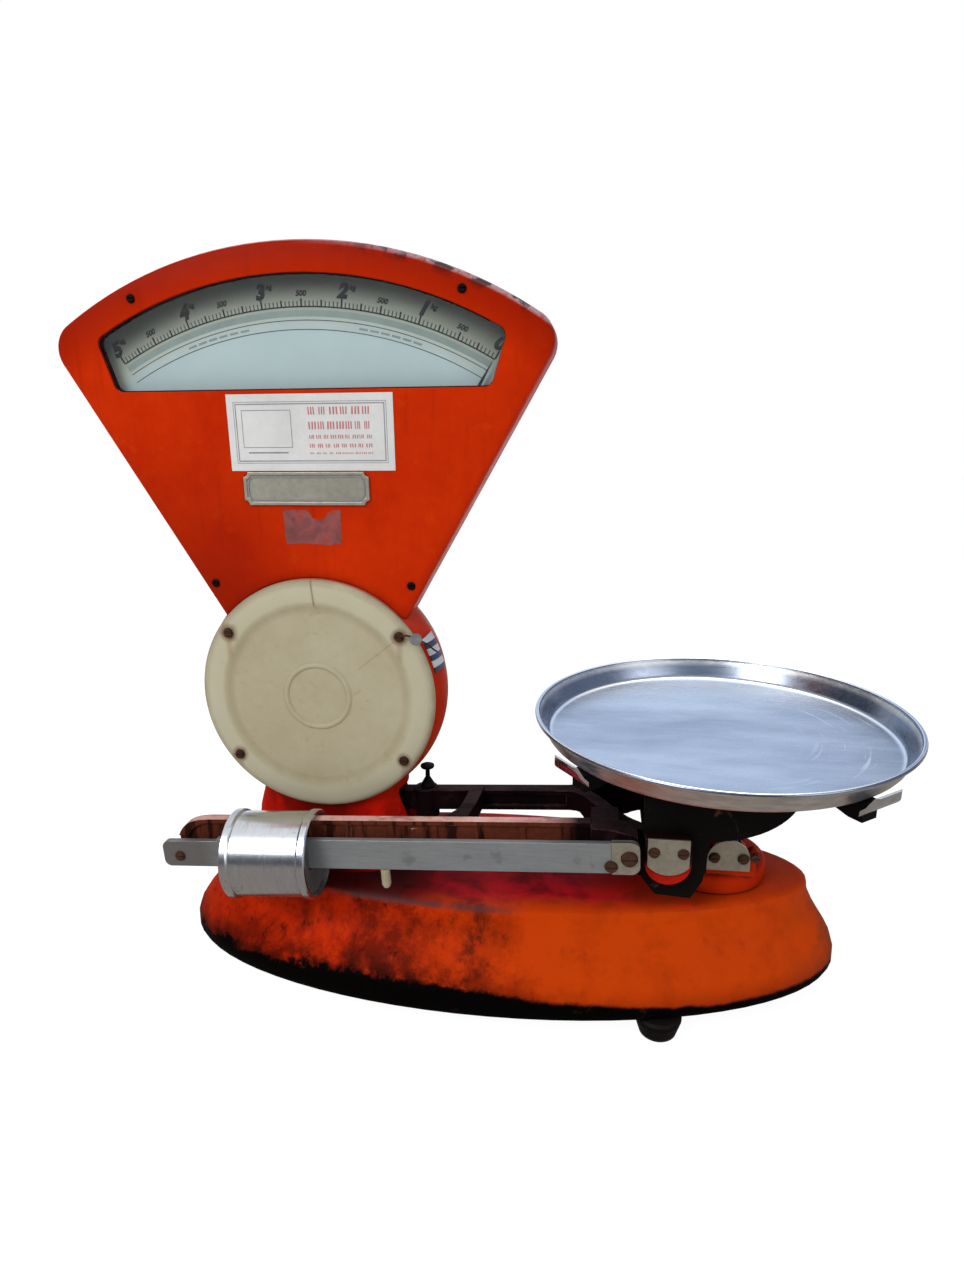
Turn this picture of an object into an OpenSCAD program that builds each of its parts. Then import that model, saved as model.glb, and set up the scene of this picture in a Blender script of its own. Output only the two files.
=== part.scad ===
// Counter scale with a fan dial, a round drum housing, a sliding poise and a round pan.
// Origin: centre of the outline on the counter. +X runs to the pan, -Y faces the user, +Z is up.

/* [Overall] */
// Length from the fan's left corner to the pan's right edge
overall_l = 715; // [700:5:730]
// Height of the levelling feet under the base
foot_h = 22; // [18:1:26]

/* [Base] */
// Length of the base at the bottom
base_l = 608; // [590:2:620]
// Width of the base at the bottom
base_w = 248; // [240:2:260]
// Length of the deck inside its rounded edge
deck_l = 544; // [530:2:550]
// Width of the deck inside its rounded edge
deck_w = 172; // [166:2:180]
// Height of the base casting
base_h = 80; // [76:1:84]
// Wall thickness of the base casting
base_wall = 6; // [5:0.5:8]

/* [Pan] */
// Outer radius of the pan
pan_r = 160; // [155:1:165]
// Height of the pan's underside above the base bottom
pan_z = 211; // [209:1:215]
// Depth of the pan
pan_depth = 21; // [18:1:24]
// Sheet thickness of the pan
pan_t = 1.2; // [1:0.1:1.6]

/* [Lever] */
// Distance from the fulcrum to the load knives
load_arm = 58; // [56:1:60]
// Height of the fulcrum above the base bottom
fulcrum_h = 120; // [118:1:122]
// Slope of the lever when the pan is empty, in degrees
rest_tilt = 2.75; // [2.5:0.05:3]
// Further turn of the lever at full load, in degrees
lever_travel = 1.3; // [1.1:0.1:1.3]
// Height of the flat poise bar
bar_h = 26.4; // [25:0.2:27]
// Radius of the poise over its rims
poise_r = 37.8; // [37.4:0.1:39]
// Length of the poise
poise_l = 74; // [70:1:76]

/* [Drum] */
// Outer radius of the round drum covers
cover_r = 105; // [103:0.5:106]
// Height of the drum's centre above the base bottom
drum_h = 244; // [242:1:246]
// Half of the drum's depth between the covers
drum_half = 27; // [26:0.5:28]
// Swell of the barrel between its two faces
barrel_swell = 6.5; // [4:0.5:8]

/* [Fan] */
// Radius of the fan's top edge about the pointer shaft
fan_r = 356; // [352:1:358]
// Radius of the window's top edge
window_r = 332; // [328:1:334]
// Slope of the fan's sides from the vertical, in degrees
fan_side = 29.8; // [29:0.1:30.5]
// Half of the fan's depth
fan_half = 25; // [23:0.5:26]
// Radius of the printed scale where the pointers end
scale_r = 308; // [304:1:312]
// Turn of the pointers from empty to full load, in degrees
pointer_sweep = 61; // [58:1:62]

/* [Hidden] */
$fn = 96;
gap = 0.3;
run = 0.05;
sheet = 2.5;

pan_x = overall_l / 2 - pan_r;
dial_x = pan_x - 350;
base_x = pan_x - 191;
deck_x = pan_x - 187;
base_z = foot_h;
deck_z = base_z + base_h;
drum_z = base_z + drum_h;
shaft_z = drum_z + 14;
fulcrum_x = pan_x + 10;
fulcrum_z = base_z + fulcrum_h;
load_x = fulcrum_x - load_arm;
check_z = base_z + 30;

// Feet: two under the pan end and one under the dial end
foot_spots = [[pan_x - 49, -95], [pan_x - 49, 95], [pan_x - 420, 0]];
foot_r = 19.5;
stud_r = 5;

// Lever cross sections, in the lever's own level frame with the fulcrum at the origin
beam_w = 13;
beam_lo = 20;
beam_hi = 39;
rail_y = -79.5;
rail_lo = 26;
rail_hi = 48.5;
rail_right = -117;
bar_mid = 23.6;
bar_front = -96;
bar_back = -91;
bar_right = -101;
tang_left = -484.5;
tang_step = -434;
poise_left = -423;
poise_y = -85;
poise_z = 17.7;
shell_t = 3.5;
knife_h = 10;
load_knife_h = 7.5;
knife_half_deg = 30;
fulcrum_knife_y = [17.5, 41.5];
load_knife_y = [50, 83];

// Pull on the pendulum: the cam radius that turns the pointers by their sweep
sweep_rad = pointer_sweep * PI / 180;
cam_r = (fulcrum_x - dial_x) * sin(lever_travel) / (sweep_rad - sin(lever_travel));
tape_t = 0.4;
tape_x = dial_x - cam_r - tape_t / 2 - 0.1;
nose_z = 24;
nose_x = (tape_x - fulcrum_x + nose_z * sin(rest_tilt)) / cos(rest_tilt);
nose_drop = (fulcrum_x - tape_x) * sin(lever_travel);
rest_pointer = pointer_sweep / 2;

damper_x = pan_x - 260;
rod_r = 2.5;

turret_r = 48;
turret_top = base_z + 98;
pillar_x = pan_x + 8.5;
pillar_r = 18;
pillar_mid = 6.6;
plate_screw_x = 12;
plate_screw_z = 5;
pillar_y = [33, 42];
leg_y = [70, 76];
leg_low = 94.5;
block_y = [76, 85];
yoke_z = [base_z + 100.2, base_z + 105.2];
plate_t = 2;

// Small helpers

// A flat outline in X and Z, given thickness along Y from y0 to y1
module slab(y0, y1) {
  translate([0, y1, 0]) rotate([90, 0, 0]) linear_extrude(y1 - y0) children();
}

// The same thing done once in front and once behind the middle plane
module both_sides() {
  children();
  mirror([0, 1, 0]) children();
}

// The lever's own level frame, set at the fulcrum and sloped as at rest
module at_fulcrum() {
  translate([fulcrum_x, 0, fulcrum_z]) rotate([0, -rest_tilt, 0]) children();
}

// A box given by its two corners
module block(lo, hi) {
  translate(lo) cube(hi - lo);
}

// A point at fraction t of a curve with four control points
function bezier(p, t) =
  pow(1 - t, 3) * p[0] + 3 * t * pow(1 - t, 2) * p[1] + 3 * t * t * (1 - t) * p[2] + pow(t, 3) * p[3];
function curve(p, n) = [for (i = [0:n]) bezier(p, i / n)];
function unit(v) = v / norm(v);
function tangent(path, i) =
  unit(path[min(i + 1, len(path) - 1)] - path[max(i - 1, 0)]);
function side_point(path, i, w) =
  path[i] + w * [-tangent(path, i).y, tangent(path, i).x];

// A flat strip of width w along a path
module strip(path, w) {
  n = len(path) - 1;
  polygon(concat(
    [for (i = [0:n]) side_point(path, i, w / 2)],
    [for (i = [n:-1:0]) side_point(path, i, -w / 2)]
  ));
}

// Slotted screw with its head on the plane y = 0, head towards -Y
module screw(head_r, head_h, shank_r, length) {
  rotate([90, 0, 0]) difference() {
    union() {
      cylinder(r1 = head_r, r2 = head_r * 0.8, h = head_h);
      translate([0, 0, -length]) cylinder(r = shank_r, h = length);
    }
    translate([-head_r, -0.5, head_h * 0.5]) cube([2 * head_r, 1, head_h]);
  }
}

// Base: a hollow oval casting that flares from the deck to the bottom

ring_n = 72;
function flare(z) = let (s = min(1, max(0, (base_h - 5 - z) / (base_h - 15)))) s * s * (3 - 2 * s);
function edge_in(z) = z < base_h - 5 ? 0 : 8 * (1 - sqrt(max(0, 1 - pow((z - base_h + 5) / 5, 2))));
function foot_in(z) = z < 4 ? 2 * (1 - z / 4) : 0;
function oval(z, inset) =
  let (f = flare(z), trim = inset + edge_in(z) + foot_in(z))
  let (a = deck_l / 2 + f * (base_l - deck_l) / 2 - trim, b = deck_w / 2 + f * (base_w - deck_w) / 2 - trim)
  let (cx = deck_x + f * (base_x - deck_x))
  [for (k = [0:ring_n - 1]) [cx + a * cos(360 * k / ring_n), b * sin(360 * k / ring_n), base_z + z]];

// A closed skin over a stack of rings that all have the same number of points
module loft(rings) {
  n = len(rings[0]);
  m = len(rings);
  points = [for (ring = rings) for (p = ring) p];
  sides = [for (j = [0:m - 2]) for (k = [0:n - 1])
    let (a = j * n + k, b = j * n + (k + 1) % n)
    each [[a, a + n, b], [b, a + n, b + n]]];
  caps = [[for (k = [0:n - 1]) k], [for (k = [n - 1:-1:0]) (m - 1) * n + k]];
  polyhedron(points = points, faces = concat(sides, caps));
}

module oval_shell() {
  outer = [0, 4, 14, 24, 34, 44, 54, 64, 70, 75, 77, 79, 80] * base_h / 80;
  inner = [-2, 12, 28, 44, 60, base_h - base_wall - 1];
  difference() {
    loft([for (z = outer) oval(z, 0)]);
    loft([for (z = inner) oval(z, base_wall)]);
  }
}

module foot_boss(spot) {
  translate([spot.x, spot.y, base_z + 2]) cylinder(r = 14, h = base_h - 8);
}

module base_casting() color("orangered") difference() {
  union() {
    oval_shell();
    intersection() {
      loft([for (z = [0, 24, 44, 64, 75]) oval(z, 1)]);
      for (spot = foot_spots) foot_boss(spot);
    }
  }
  for (spot = foot_spots) translate([spot.x, spot.y, base_z]) cylinder(r = stud_r + run, h = 30);
  // Slot for the check stem, hole for the damper and holes for the deck bolts
  block([load_x - 13, -10, base_z + 40], [load_x + 13, 10, deck_z + 5]);
  translate([damper_x, 0, base_z + 40]) cylinder(r = 8 + run, h = 50);
  for (spot = deck_bolt_spots) translate([spot.x, spot.y, base_z + 40]) cylinder(r = 3.2, h = 50);
}

deck_bolt_spots = concat(
  [for (sx = [-1, 1]) for (sy = [-1, 1]) [dial_x + 3 + sx * 58, sy * 22]],
  [for (a = [60, -60]) [pan_x + 34 * cos(a), 34 * sin(a)]],
  [[pan_x + 34, 0]]
);

module deck_bolt_holes(which, r, z) {
  for (k = which) translate([deck_bolt_spots[k].x, deck_bolt_spots[k].y, z])
    cylinder(r = r, h = deck_z + 10 - z);
}

// Bolts put in from below, with their heads under the deck
module deck_bolts() color("dimgray") for (spot = deck_bolt_spots)
  translate([spot.x, spot.y, deck_z - base_wall - 1]) {
    translate([0, 0, -5]) cylinder(r = 6, h = 5, $fn = 6);
    cylinder(r = 3, h = base_wall + 9);
  }

// Levelling foot with its stud
module foot(spot) color("black") translate([spot.x, spot.y, 0]) {
  rotate_extrude() polygon([
    [0, 0], [foot_r - 5, 0], [foot_r - 4, 1], [foot_r, foot_h - 8], [foot_r, foot_h - 5],
    [foot_r - 2, foot_h - 3], [9, foot_h - 3], [9, foot_h - 0.5], [0, foot_h - 0.5]
  ]);
  cylinder(r = stud_r, h = foot_h + 26);
}
module foot_front() foot(foot_spots[0]);
module foot_rear() foot(foot_spots[1]);
module foot_end() foot(foot_spots[2]);

// Fulcrum stand: a round turret with two pillars that carry the knife bearings

module dome(r, lo) {
  intersection() {
    translate([pillar_x, fulcrum_z - pillar_mid]) circle(r = r);
    translate([pillar_x - r, lo]) square([2 * r, 3 * r]);
  }
  translate([pillar_x - r, lo]) square([2 * r, fulcrum_z - pillar_mid - lo]);
}

clamp_spot = [pillar_x + 21.4, fulcrum_z - 3];
module fulcrum_turret() color("orangered") difference() {
  union() {
    translate([pan_x, 0, deck_z]) rotate_extrude() polygon(concat(
      [[0, 0], [turret_r - 3, 0], [turret_r - 3, 2], [turret_r, 2.6]],
      [for (a = [0:15:90]) [turret_r - 6 + 6 * cos(a), 12 + 6 * sin(a)]],
      [[0, 18]]
    ));
    both_sides() slab(pillar_y[0], pillar_y[1]) difference() {
      union() {
        dome(pillar_r, turret_top - 1);
        translate(clamp_spot) circle(r = 5);
        translate([clamp_spot.x - 9, turret_top - 1]) square([11, clamp_spot.y - turret_top + 1]);
      }
      translate([fulcrum_x - 8, fulcrum_z - 9]) square([16, 40]);
    }
  }
  block([load_x - 14, -11, deck_z - 5], [load_x + 14, 11, turret_top + 5]);
  deck_bolt_holes([4:6], 3.1, deck_z - 1);
  for (s = [-1, 1]) translate([pillar_x + s * plate_screw_x, 0, fulcrum_z - plate_screw_z]) rotate([90, 0, 0])
    cylinder(r = 2.1, h = 100, center = true);
  translate([clamp_spot.x, 0, clamp_spot.y]) rotate([90, 0, 0]) cylinder(r = 2.1, h = 100, center = true);
}

// Hard V bearings under the fulcrum knives
module fulcrum_bearings() color("silver") both_sides() slab(pillar_y[0], pillar_y[1]) difference() {
  translate([fulcrum_x - 8, fulcrum_z - 9]) square([16, 13]);
  translate([fulcrum_x, fulcrum_z - run]) polygon([[0, 0], [7, 4.05], [7, 6], [-7, 6], [-7, 4.05]]);
}

module fulcrum_end_plates() color("gainsboro") both_sides()
  slab(pillar_y[1], pillar_y[1] + plate_t) difference() {
    dome(pillar_r, turret_top + 5);
    for (s = [-1, 1]) translate([pillar_x + s * plate_screw_x, fulcrum_z - plate_screw_z]) circle(r = 2.1);
    translate(clamp_spot) circle(r = 3);
  }

// Screws of the end plates, with the clamp bolt beside each plate
module turret_screws() color("saddlebrown") both_sides() {
  for (s = [-1, 1]) translate([pillar_x + s * plate_screw_x, -pillar_y[1] - plate_t, fulcrum_z - plate_screw_z])
    screw(4.9, 2.6, 2, 9);
  translate([clamp_spot.x, -pillar_y[1] - plate_t, clamp_spot.y]) screw(4.2, 3.4, 2, 10);
}

// Drum: a swelling barrel on a flaring neck, closed by two round covers

function barrel(y, grow) = cover_r - 1 + grow + barrel_swell * (1 - pow(y / drum_half, 2));
module barrel_solid(grow) {
  steps = [for (y = [-9:9]) y * drum_half / 9];
  translate([dial_x, 0, drum_z]) rotate([90, 0, 0]) rotate_extrude() polygon(concat(
    [[0, -drum_half]], [for (y = steps) [barrel(y, grow), y]], [[0, drum_half]]
  ));
}

neck_n = 48;
neck_right = 76;
// The neck's foot spreads to the left only, beside the damper its edge stays where it is
function squircle(hx, hy, z) = [for (k = [0:neck_n - 1])
  let (a = 360 * k / neck_n, c = cos(a), s = sin(a), shift = max(0, hx - neck_right))
  [dial_x + 3 - shift + hx * sign(c) * pow(abs(c), 0.75), hy * sign(s) * pow(abs(s), 0.75), base_z + z]];
neck_rows = [[80, 80, 47], [84, 79.5, 46], [92, 78, 42], [102, 76.8, 38], [114, 76, 34],
  [126, 75, 30], [137, 72, 26.5], [150, 68, 26], [176, 70, 26]];

module screw_bosses(r, y0, y1) {
  for (sx = [-1, 1]) for (sz = [-1, 1]) translate([dial_x + sx * 76, 0, drum_z + sz * 57])
    slab(y0, y1) circle(r = r);
}

module drum_housing() color("orangered") difference() {
  union() {
    barrel_solid(0);
    loft([for (row = neck_rows) squircle(row[1], row[2], row[0])]);
  }
  difference() {
    translate([dial_x, 0, drum_z]) slab(-drum_half - 1, drum_half + 1) circle(r = cover_r - 8);
    both_sides() screw_bosses(7, drum_half - 12, drum_half + 2);
  }
  difference() {
    loft([for (row = neck_rows) squircle(row[1] - 7, row[2] - 6, row[0] + (row[0] < 81 ? -2 : 0))]);
    deck_bolt_holes([0:3], 9, deck_z - 3);
  }
  deck_bolt_holes([0:3], 3.1, deck_z - 1);
  both_sides() screw_bosses(2.1, drum_half - 10, drum_half + 2);
  // Mouth for the lever's nose, way up for the pointers, holes for the deck bolts
  translate([dial_x + 55, 0, base_z + 129]) rotate([90, 0, 90]) linear_extrude(60) hull() {
    for (sx = [-1, 1]) for (sz = [-1, 1]) translate([sx * 9, sz * 17]) circle(r = 6, $fn = 32);
  }
  slab(-18, 18) polygon([
    [dial_x - 10, shaft_z], [dial_x - 80, shaft_z + 130], [dial_x + 80, shaft_z + 130], [dial_x + 10, shaft_z]
  ]);
}

// Pressed cover: raised outer ring, groove, dished middle and a small plain medallion
module cover() {
  difference() {
    translate([dial_x, -drum_half, drum_z]) rotate([90, 0, 0]) rotate_extrude() polygon([
      [0, 1.2], [24, 1.3], [76, 2.1], [82, 3.8], [100, 3.8], [103, 2.2], [103, 0],
      [cover_r, 0], [cover_r, 3], [cover_r - 1.2, 4.8], [cover_r - 3.6, 6], [86, 6], [83.5, 5.7], [81, 4.6],
      [78, 4.2], [31, 3.4], [30, 4.3], [29, 4.7], [28, 4.7], [27, 4.3], [26, 3.3], [0, 3.2]
    ]);
    screw_bosses(2.2, -drum_half - 8, -drum_half + 2);
  }
}
module drum_front_cover() color("ivory") cover();
module drum_rear_cover() color("ivory") mirror([0, 1, 0]) cover();

module cover_screws() color("saddlebrown") both_sides()
  for (sx = [-1, 1]) for (sz = [-1, 1]) translate([dial_x + sx * 76, -drum_half - 6, drum_z + sz * 57])
    screw(4.4, 2.4, 2, 13);

// Bridges across the drum that hold the bearings of the pendulum shaft
module bearing_bridges() color("slategray") both_sides() slab(-24, -20) difference() {
  union() {
    intersection() {
      translate([dial_x, drum_z]) circle(r = cover_r - 8);
      translate([dial_x - 100, shaft_z - 12]) square([200, 24]);
    }
    translate([dial_x, shaft_z]) circle(r = 20);
  }
  translate([dial_x, shaft_z]) circle(r = 9);
}

module shaft_bearings() color("silver") both_sides() slab(-25, -19) difference() {
  translate([dial_x, shaft_z]) circle(r = 9);
  translate([dial_x, shaft_z]) circle(r = 4 + run);
}

// Fan: outline with an arc on top, sloping sides and rounded corners

// Centre of a corner circle of radius r that touches the side line and the arc
function corner_top(arc_r, sx, sz, ang, r) =
  let (p = [sx - r * cos(ang), sz + r * sin(ang)], d = [sin(ang), cos(ang)], q = p * d)
  p + d * (sqrt(q * q - p * p + pow(arc_r - r, 2)) - q);
function corner_low(sx, sz, ang, r, low) =
  let (p = [sx - r * cos(ang), sz + r * sin(ang)], d = [sin(ang), cos(ang)])
  p + d * (low + r - p.y) / cos(ang);

// Half outline to the right of the centre line; the pointer shaft is the origin
module fan_half_shape(arc_r, sx, sz, ang, r, low) {
  top = corner_top(arc_r, sx, sz, ang, r);
  bottom = corner_low(sx, sz, ang, r, low);
  n = [cos(ang), -sin(ang)];
  intersection() {
    circle(r = arc_r, $fn = 180);
    polygon([[-1, low], [bottom.x, low], bottom, bottom + r * n, top + r * n, top,
      top * (arc_r + 20) / norm(top), [-1, arc_r + 20]]);
  }
  translate(top) circle(r = r, $fn = 40);
  translate(bottom) circle(r = r, $fn = 40);
}
module fan_shape(arc_r, sx, sz, ang, r, low) {
  translate([dial_x, shaft_z]) for (m = [0, 1]) mirror([m, 0]) fan_half_shape(arc_r, sx, sz, ang, r, low);
}

// Outer outline drawn in by e, and window outline drawn in by e
fan_low = 0;
module fan_outline(e) fan_shape(fan_r - e, 84 - e / cos(fan_side), 61, fan_side, 24 - min(e, 12), fan_low);
module window_outline(e) fan_shape(window_r - e, 156 - e, 245, 17, max(3, 8 - e), 245 + e);

module fan_solid(y0, y1, edge_y) {
  s = edge_y < 0 ? 1 : -1;
  hull() {
    slab(edge_y < 0 ? y0 + 5 : y0, edge_y < 0 ? y1 : y1 - 5) fan_outline(0);
    translate([0, edge_y + s * 1.6, 0]) slab(-0.1, 0.1) fan_outline(1.4);
    translate([0, edge_y + s * 0.1, 0]) slab(-0.1, 0.1) fan_outline(4.6);
  }
}

fan_screw_spots = [[-134, 574.5], [134, 574.5], [-86.5, 343.5], [86.5, 343.5]];
module fan_screw_holes(r, y0, y1) {
  for (p = fan_screw_spots) slab(y0, y1) translate([dial_x + p.x, base_z + p.y]) circle(r = r);
}

module fan_front_panel() color("orangered") difference() {
  fan_solid(-fan_half, -17, -fan_half);
  slab(-fan_half + sheet, -10) fan_outline(sheet + 0.5);
  slab(-fan_half - 1, -10) window_outline(0);
  fan_screw_holes(2.2, -fan_half - 1, -10);
  barrel_solid(0.3);
}

module fan_housing() color("orangered") difference() {
  union() {
    difference() {
      fan_solid(-17, fan_half, fan_half);
      slab(-18, fan_half - sheet) fan_outline(4);
      slab(10, fan_half + 1) window_outline(0);
    }
    intersection() {
      fan_screw_holes(7, -22, fan_half - 1);
      slab(-22, fan_half) fan_outline(2);
    }
  }
  fan_screw_holes(2.1, -23, -8);
  barrel_solid(0.3);
}

module fan_screws() color("black") for (p = fan_screw_spots)
  translate([dial_x + p.x, -fan_half, base_z + p.y]) screw(3.6, 1.8, 2, 14);

glass_lap = 4;
module window_glass_front() color("lightcyan", 0.4)
  slab(-fan_half + sheet, -fan_half + sheet + 3) window_outline(-glass_lap);
module window_glass_rear() color("lightcyan", 0.4) mirror([0, 1, 0]) window_glass_front();

// Rubber frames that press the glasses against the panels
module window_seals() color("black") both_sides() slab(-fan_half + sheet + 3, -17.5) difference() {
  window_outline(-glass_lap);
  window_outline(1);
}

module dial_outline() {
  difference() {
    intersection() {
      fan_outline(9);
      translate([dial_x - 200, shaft_z + 232]) square([400, 120]);
    }
    for (p = fan_screw_spots) translate([dial_x + p.x, base_z + p.y]) circle(r = 7.5);
  }
}
module dial_plate_front() color("aliceblue") slab(-10, -8.5) dial_outline();
module dial_plate_rear() color("aliceblue") slab(8.5, 10) dial_outline();

// Brackets between the two dial plates at the sides of the fan
module dial_brackets() color("slategray") slab(-8.5, 8.5) intersection() {
  difference() {
    fan_outline(4);
    fan_outline(20);
  }
  for (s = [-1, 1]) translate([dial_x + s * 170 - 32, shaft_z + 236]) square([64, 34]);
}

// Bare plate with notched corners and a raised rim, and a paper label above it
module notched(w, h, r) {
  difference() {
    square([w, h], center = true);
    for (sx = [-1, 1]) for (sy = [-1, 1]) translate([sx * w / 2, sy * h / 2]) circle(r = r, $fn = 32);
  }
}
module name_plate() color("silver") translate([dial_x + 1, 0, base_z + 424.5]) {
  slab(-fan_half - 1, -fan_half) notched(107, 27, 4);
  slab(-fan_half - 1.6, -fan_half - 1) difference() {
    notched(107, 27, 4);
    notched(102, 22, 3.5);
  }
}
module paper_label() color("white") translate([dial_x + 7.5, 0, base_z + 469.5])
  slab(-fan_half - 0.3, -fan_half) square([139, 61], center = true);

// Seal on the drum's upper right side: wire, lead and banded tag
seal_points = [[77, -37, 58], [84, -38.5, 60], [92, -37, 57], [100, -32, 51], [104.5, -25, 44],
  [106, -20, 41]];
module seal_wire() color("dimgray") translate([dial_x, 0, drum_z])
  for (k = [0:len(seal_points) - 2]) hull() {
    translate(seal_points[k]) sphere(r = 0.8, $fn = 10);
    translate(seal_points[k + 1]) sphere(r = 0.8, $fn = 10);
  }
module lead_seal() color("gray") translate([dial_x + 92, -39.2, drum_z + 57]) rotate([0, 20, 0])
  slab(-1.6, 1.4) circle(r = 5);
module seal_tag() color("navy") translate([dial_x, 0, drum_z]) rotate([90, 0, 0]) rotate([0, 0, 12])
  rotate_extrude(angle = 17) polygon(concat(
    [for (y = [1:3:22]) [barrel(y, 0.2), y]],
    [for (y = [22:-3:1]) [barrel(y, 1.2), y]]
  ));

// Pendulum: shaft, cam, arm, bob and the two pointers, drawn as at rest
module at_shaft(angle) {
  translate([dial_x, 0, shaft_z]) rotate([0, angle, 0]) children();
}
module pendulum_shaft() color("silver") at_shaft(0) slab(-25.5, 25.5) circle(r = 4);
module shaft_bore(y0, y1) {
  slab(y0, y1) circle(r = 4);
}
module tape_cam() color("goldenrod") at_shaft(0) difference() {
  union() {
    slab(-10.5, -5.5) circle(r = cam_r);
    slab(-11.5, -10.5) circle(r = cam_r + 2);
    slab(-5.5, -4.5) circle(r = cam_r + 2);
  }
  shaft_bore(-12, -4);
}
module pendulum_arm() color("dimgray") at_shaft(10) difference() {
  union() {
    slab(0, 5) circle(r = 11);
    slab(0, 5) polygon([[-6, 0], [6, 0], [4, -60], [-4, -60]]);
  }
  shaft_bore(-1, 6);
}
module pendulum_bob() color("dimgray") at_shaft(10) translate([0, 0, -60]) difference() {
  slab(-3, 14) circle(r = 22);
  slab(0, 5) translate([-5, -1]) square([10, 24]);
}
module pointer_blade() {
  difference() {
    union() {
      circle(r = 9);
      polygon([[-4, 0], [-1.6, scale_r - 60], [-1.2, scale_r - 20], [0, scale_r], [1.2, scale_r - 20],
        [1.6, scale_r - 60], [4, 0]]);
      polygon([[-3, 0], [3, 0], [5, -26], [-5, -26]]);
    }
    circle(r = 4);
  }
}
module pointers() color("black") at_shaft(rest_pointer) both_sides() slab(-15, -13.8) pointer_blade();

// Steel tape from the cam down to a stirrup that hangs on the lever's nose knife
stirrup_z = fulcrum_z + nose_x * sin(rest_tilt) + nose_z * cos(rest_tilt);
module draw_tape() color("silver") {
  block([tape_x - tape_t / 2, -10.3, stirrup_z + 9.5],
    [tape_x + tape_t / 2, -5.7, shaft_z + nose_drop + 0.5]);
  slab(-10.3, -5.7) translate([tape_x, stirrup_z]) difference() {
    translate([-6.5, -4.3]) square([13, 14]);
    translate([-4.5, -0.3]) square([9, 8]);
  }
}

// Lever: beam, fork, front rail, brace and lug in one casting, drawn in its own level frame

fork_bend = [[-66, -60], [-46, -60], [-50, -24], [-22, -24]];
fork_path = concat(
  curve([[-136, 0], [-108, -2], [-102, -60], [-66, -60]], 10),
  [for (i = [1:9]) bezier(fork_bend, i / 10)],
  [[-22, -24], [12, -24]]
);
side_view = [[-390, 8], [-260, 8], [-256, 20], [-128, 20], [-104, -4], [-84, -10], [14, -10], [14, 12],
  [-30, 14], [-60, 29], [-78, 33], [-112, 36], [-130, 39], [-390, 39]];

// The fork seen from above, cut to its side view
module fork() {
  intersection() {
    translate([0, 0, -20]) linear_extrude(80) for (m = [0, 1]) mirror([0, m]) strip(fork_path, 13);
    slab(-100, 100) polygon(side_view);
  }
}
module beam() {
  difference() {
    block([nose_x - 8, -beam_w / 2, beam_lo], [-126, beam_w / 2, beam_hi]);
    // Hollows on both faces leave an I section, and the nose is slim
    both_sides() block([-215, -10, beam_lo + 4], [-140, -3, beam_hi - 4]);
    both_sides() block([nose_x - 9, -10, beam_lo - 1], [-290, -5, beam_hi + 1]);
  }
  translate([-270.5, 0, 12]) cylinder(r = 11, h = 28);
}
module rail() {
  left = curve([[-446, rail_hi], [-466, rail_hi], [-472, 40], [-475, 33]], 6);
  inner = curve([[-466, 32], [-463, 41], [-454, 44.5], [-446, 44.5]], 5);
  foot_end = [[-475, 14], [-450, 14], [-450, rail_lo]];
  slab(rail_y - 2, rail_y + 2) polygon(concat([[rail_right, rail_lo], [rail_right, rail_hi]], left, foot_end));
  slab(rail_y - 4, rail_y + 5) polygon(concat([[rail_right, rail_hi - 4], [rail_right, rail_hi]], left, inner));
  for (x = [-136:-37:-430]) block([x - 2.5, rail_y - 3.4, rail_lo], [x + 2.5, rail_y + 2, rail_hi - 1]);
}
module brace() {
  translate([0, 0, 25]) linear_extrude(16) {
    strip(curve([[-221, 0], [-223, -30], [-226, -50], [-232, rail_y]], 8), 12);
    strip(curve([[-222, -24], [-226, -52], [-240, -70], [-268, rail_y]], 8), 9);
  }
}
module lug() {
  block([-112, bar_back, 12], [-80, -46, 32]);
  block([-117, rail_y - 2, rail_lo], [-94, -44, rail_hi - 6]);
  slab(bar_back, -70) polygon([[rail_right, rail_lo], [rail_right, rail_hi - 1], [-98, rail_hi - 3], [-80, 40],
    [-80, rail_lo]]);
}
module tang_boss() {
  slab(bar_back, rail_y + 2) translate(bar_screw_spots[0]) circle(r = 8);
}
module knife(y, x, z, h) {
  w = abs(h) * tan(knife_half_deg);
  slab(y[0], y[1]) translate([x, z]) polygon([[0, 0], [-w, h], [w, h]]);
}

module lever_casting() color([0.27, 0.16, 0.15]) difference() {
  at_fulcrum() difference() {
    union() {
      fork();
      beam();
      rail();
      brace();
      lug();
      tang_boss();
    }
    slab(-13, 13) nose_edge();
    for (p = bar_screw_spots) slab(-100, -60) translate(p) circle(r = 2.5);
  }
  both_sides() knife([fulcrum_knife_y[0] - 1, fulcrum_knife_y[1]], fulcrum_x, fulcrum_z, knife_h);
  both_sides() knife([load_knife_y[0] - 4, load_knife_y[1]], load_x, fulcrum_z, -load_knife_h);
  translate([damper_x, 0, fulcrum_z - 30]) cylinder(r = rod_r + 1.5, h = 80);
}

module fulcrum_knives() color("silver") both_sides() knife(fulcrum_knife_y, fulcrum_x, fulcrum_z, knife_h);
module load_knives() color("silver") both_sides() knife(load_knife_y, load_x, fulcrum_z, -load_knife_h);
module nose_edge() {
  translate([nose_x, nose_z]) polygon([[0, 0], [-3.5, 6], [3.5, 6]]);
}
module nose_knife() color("silver") at_fulcrum() slab(-12, 5) nose_edge();

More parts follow.
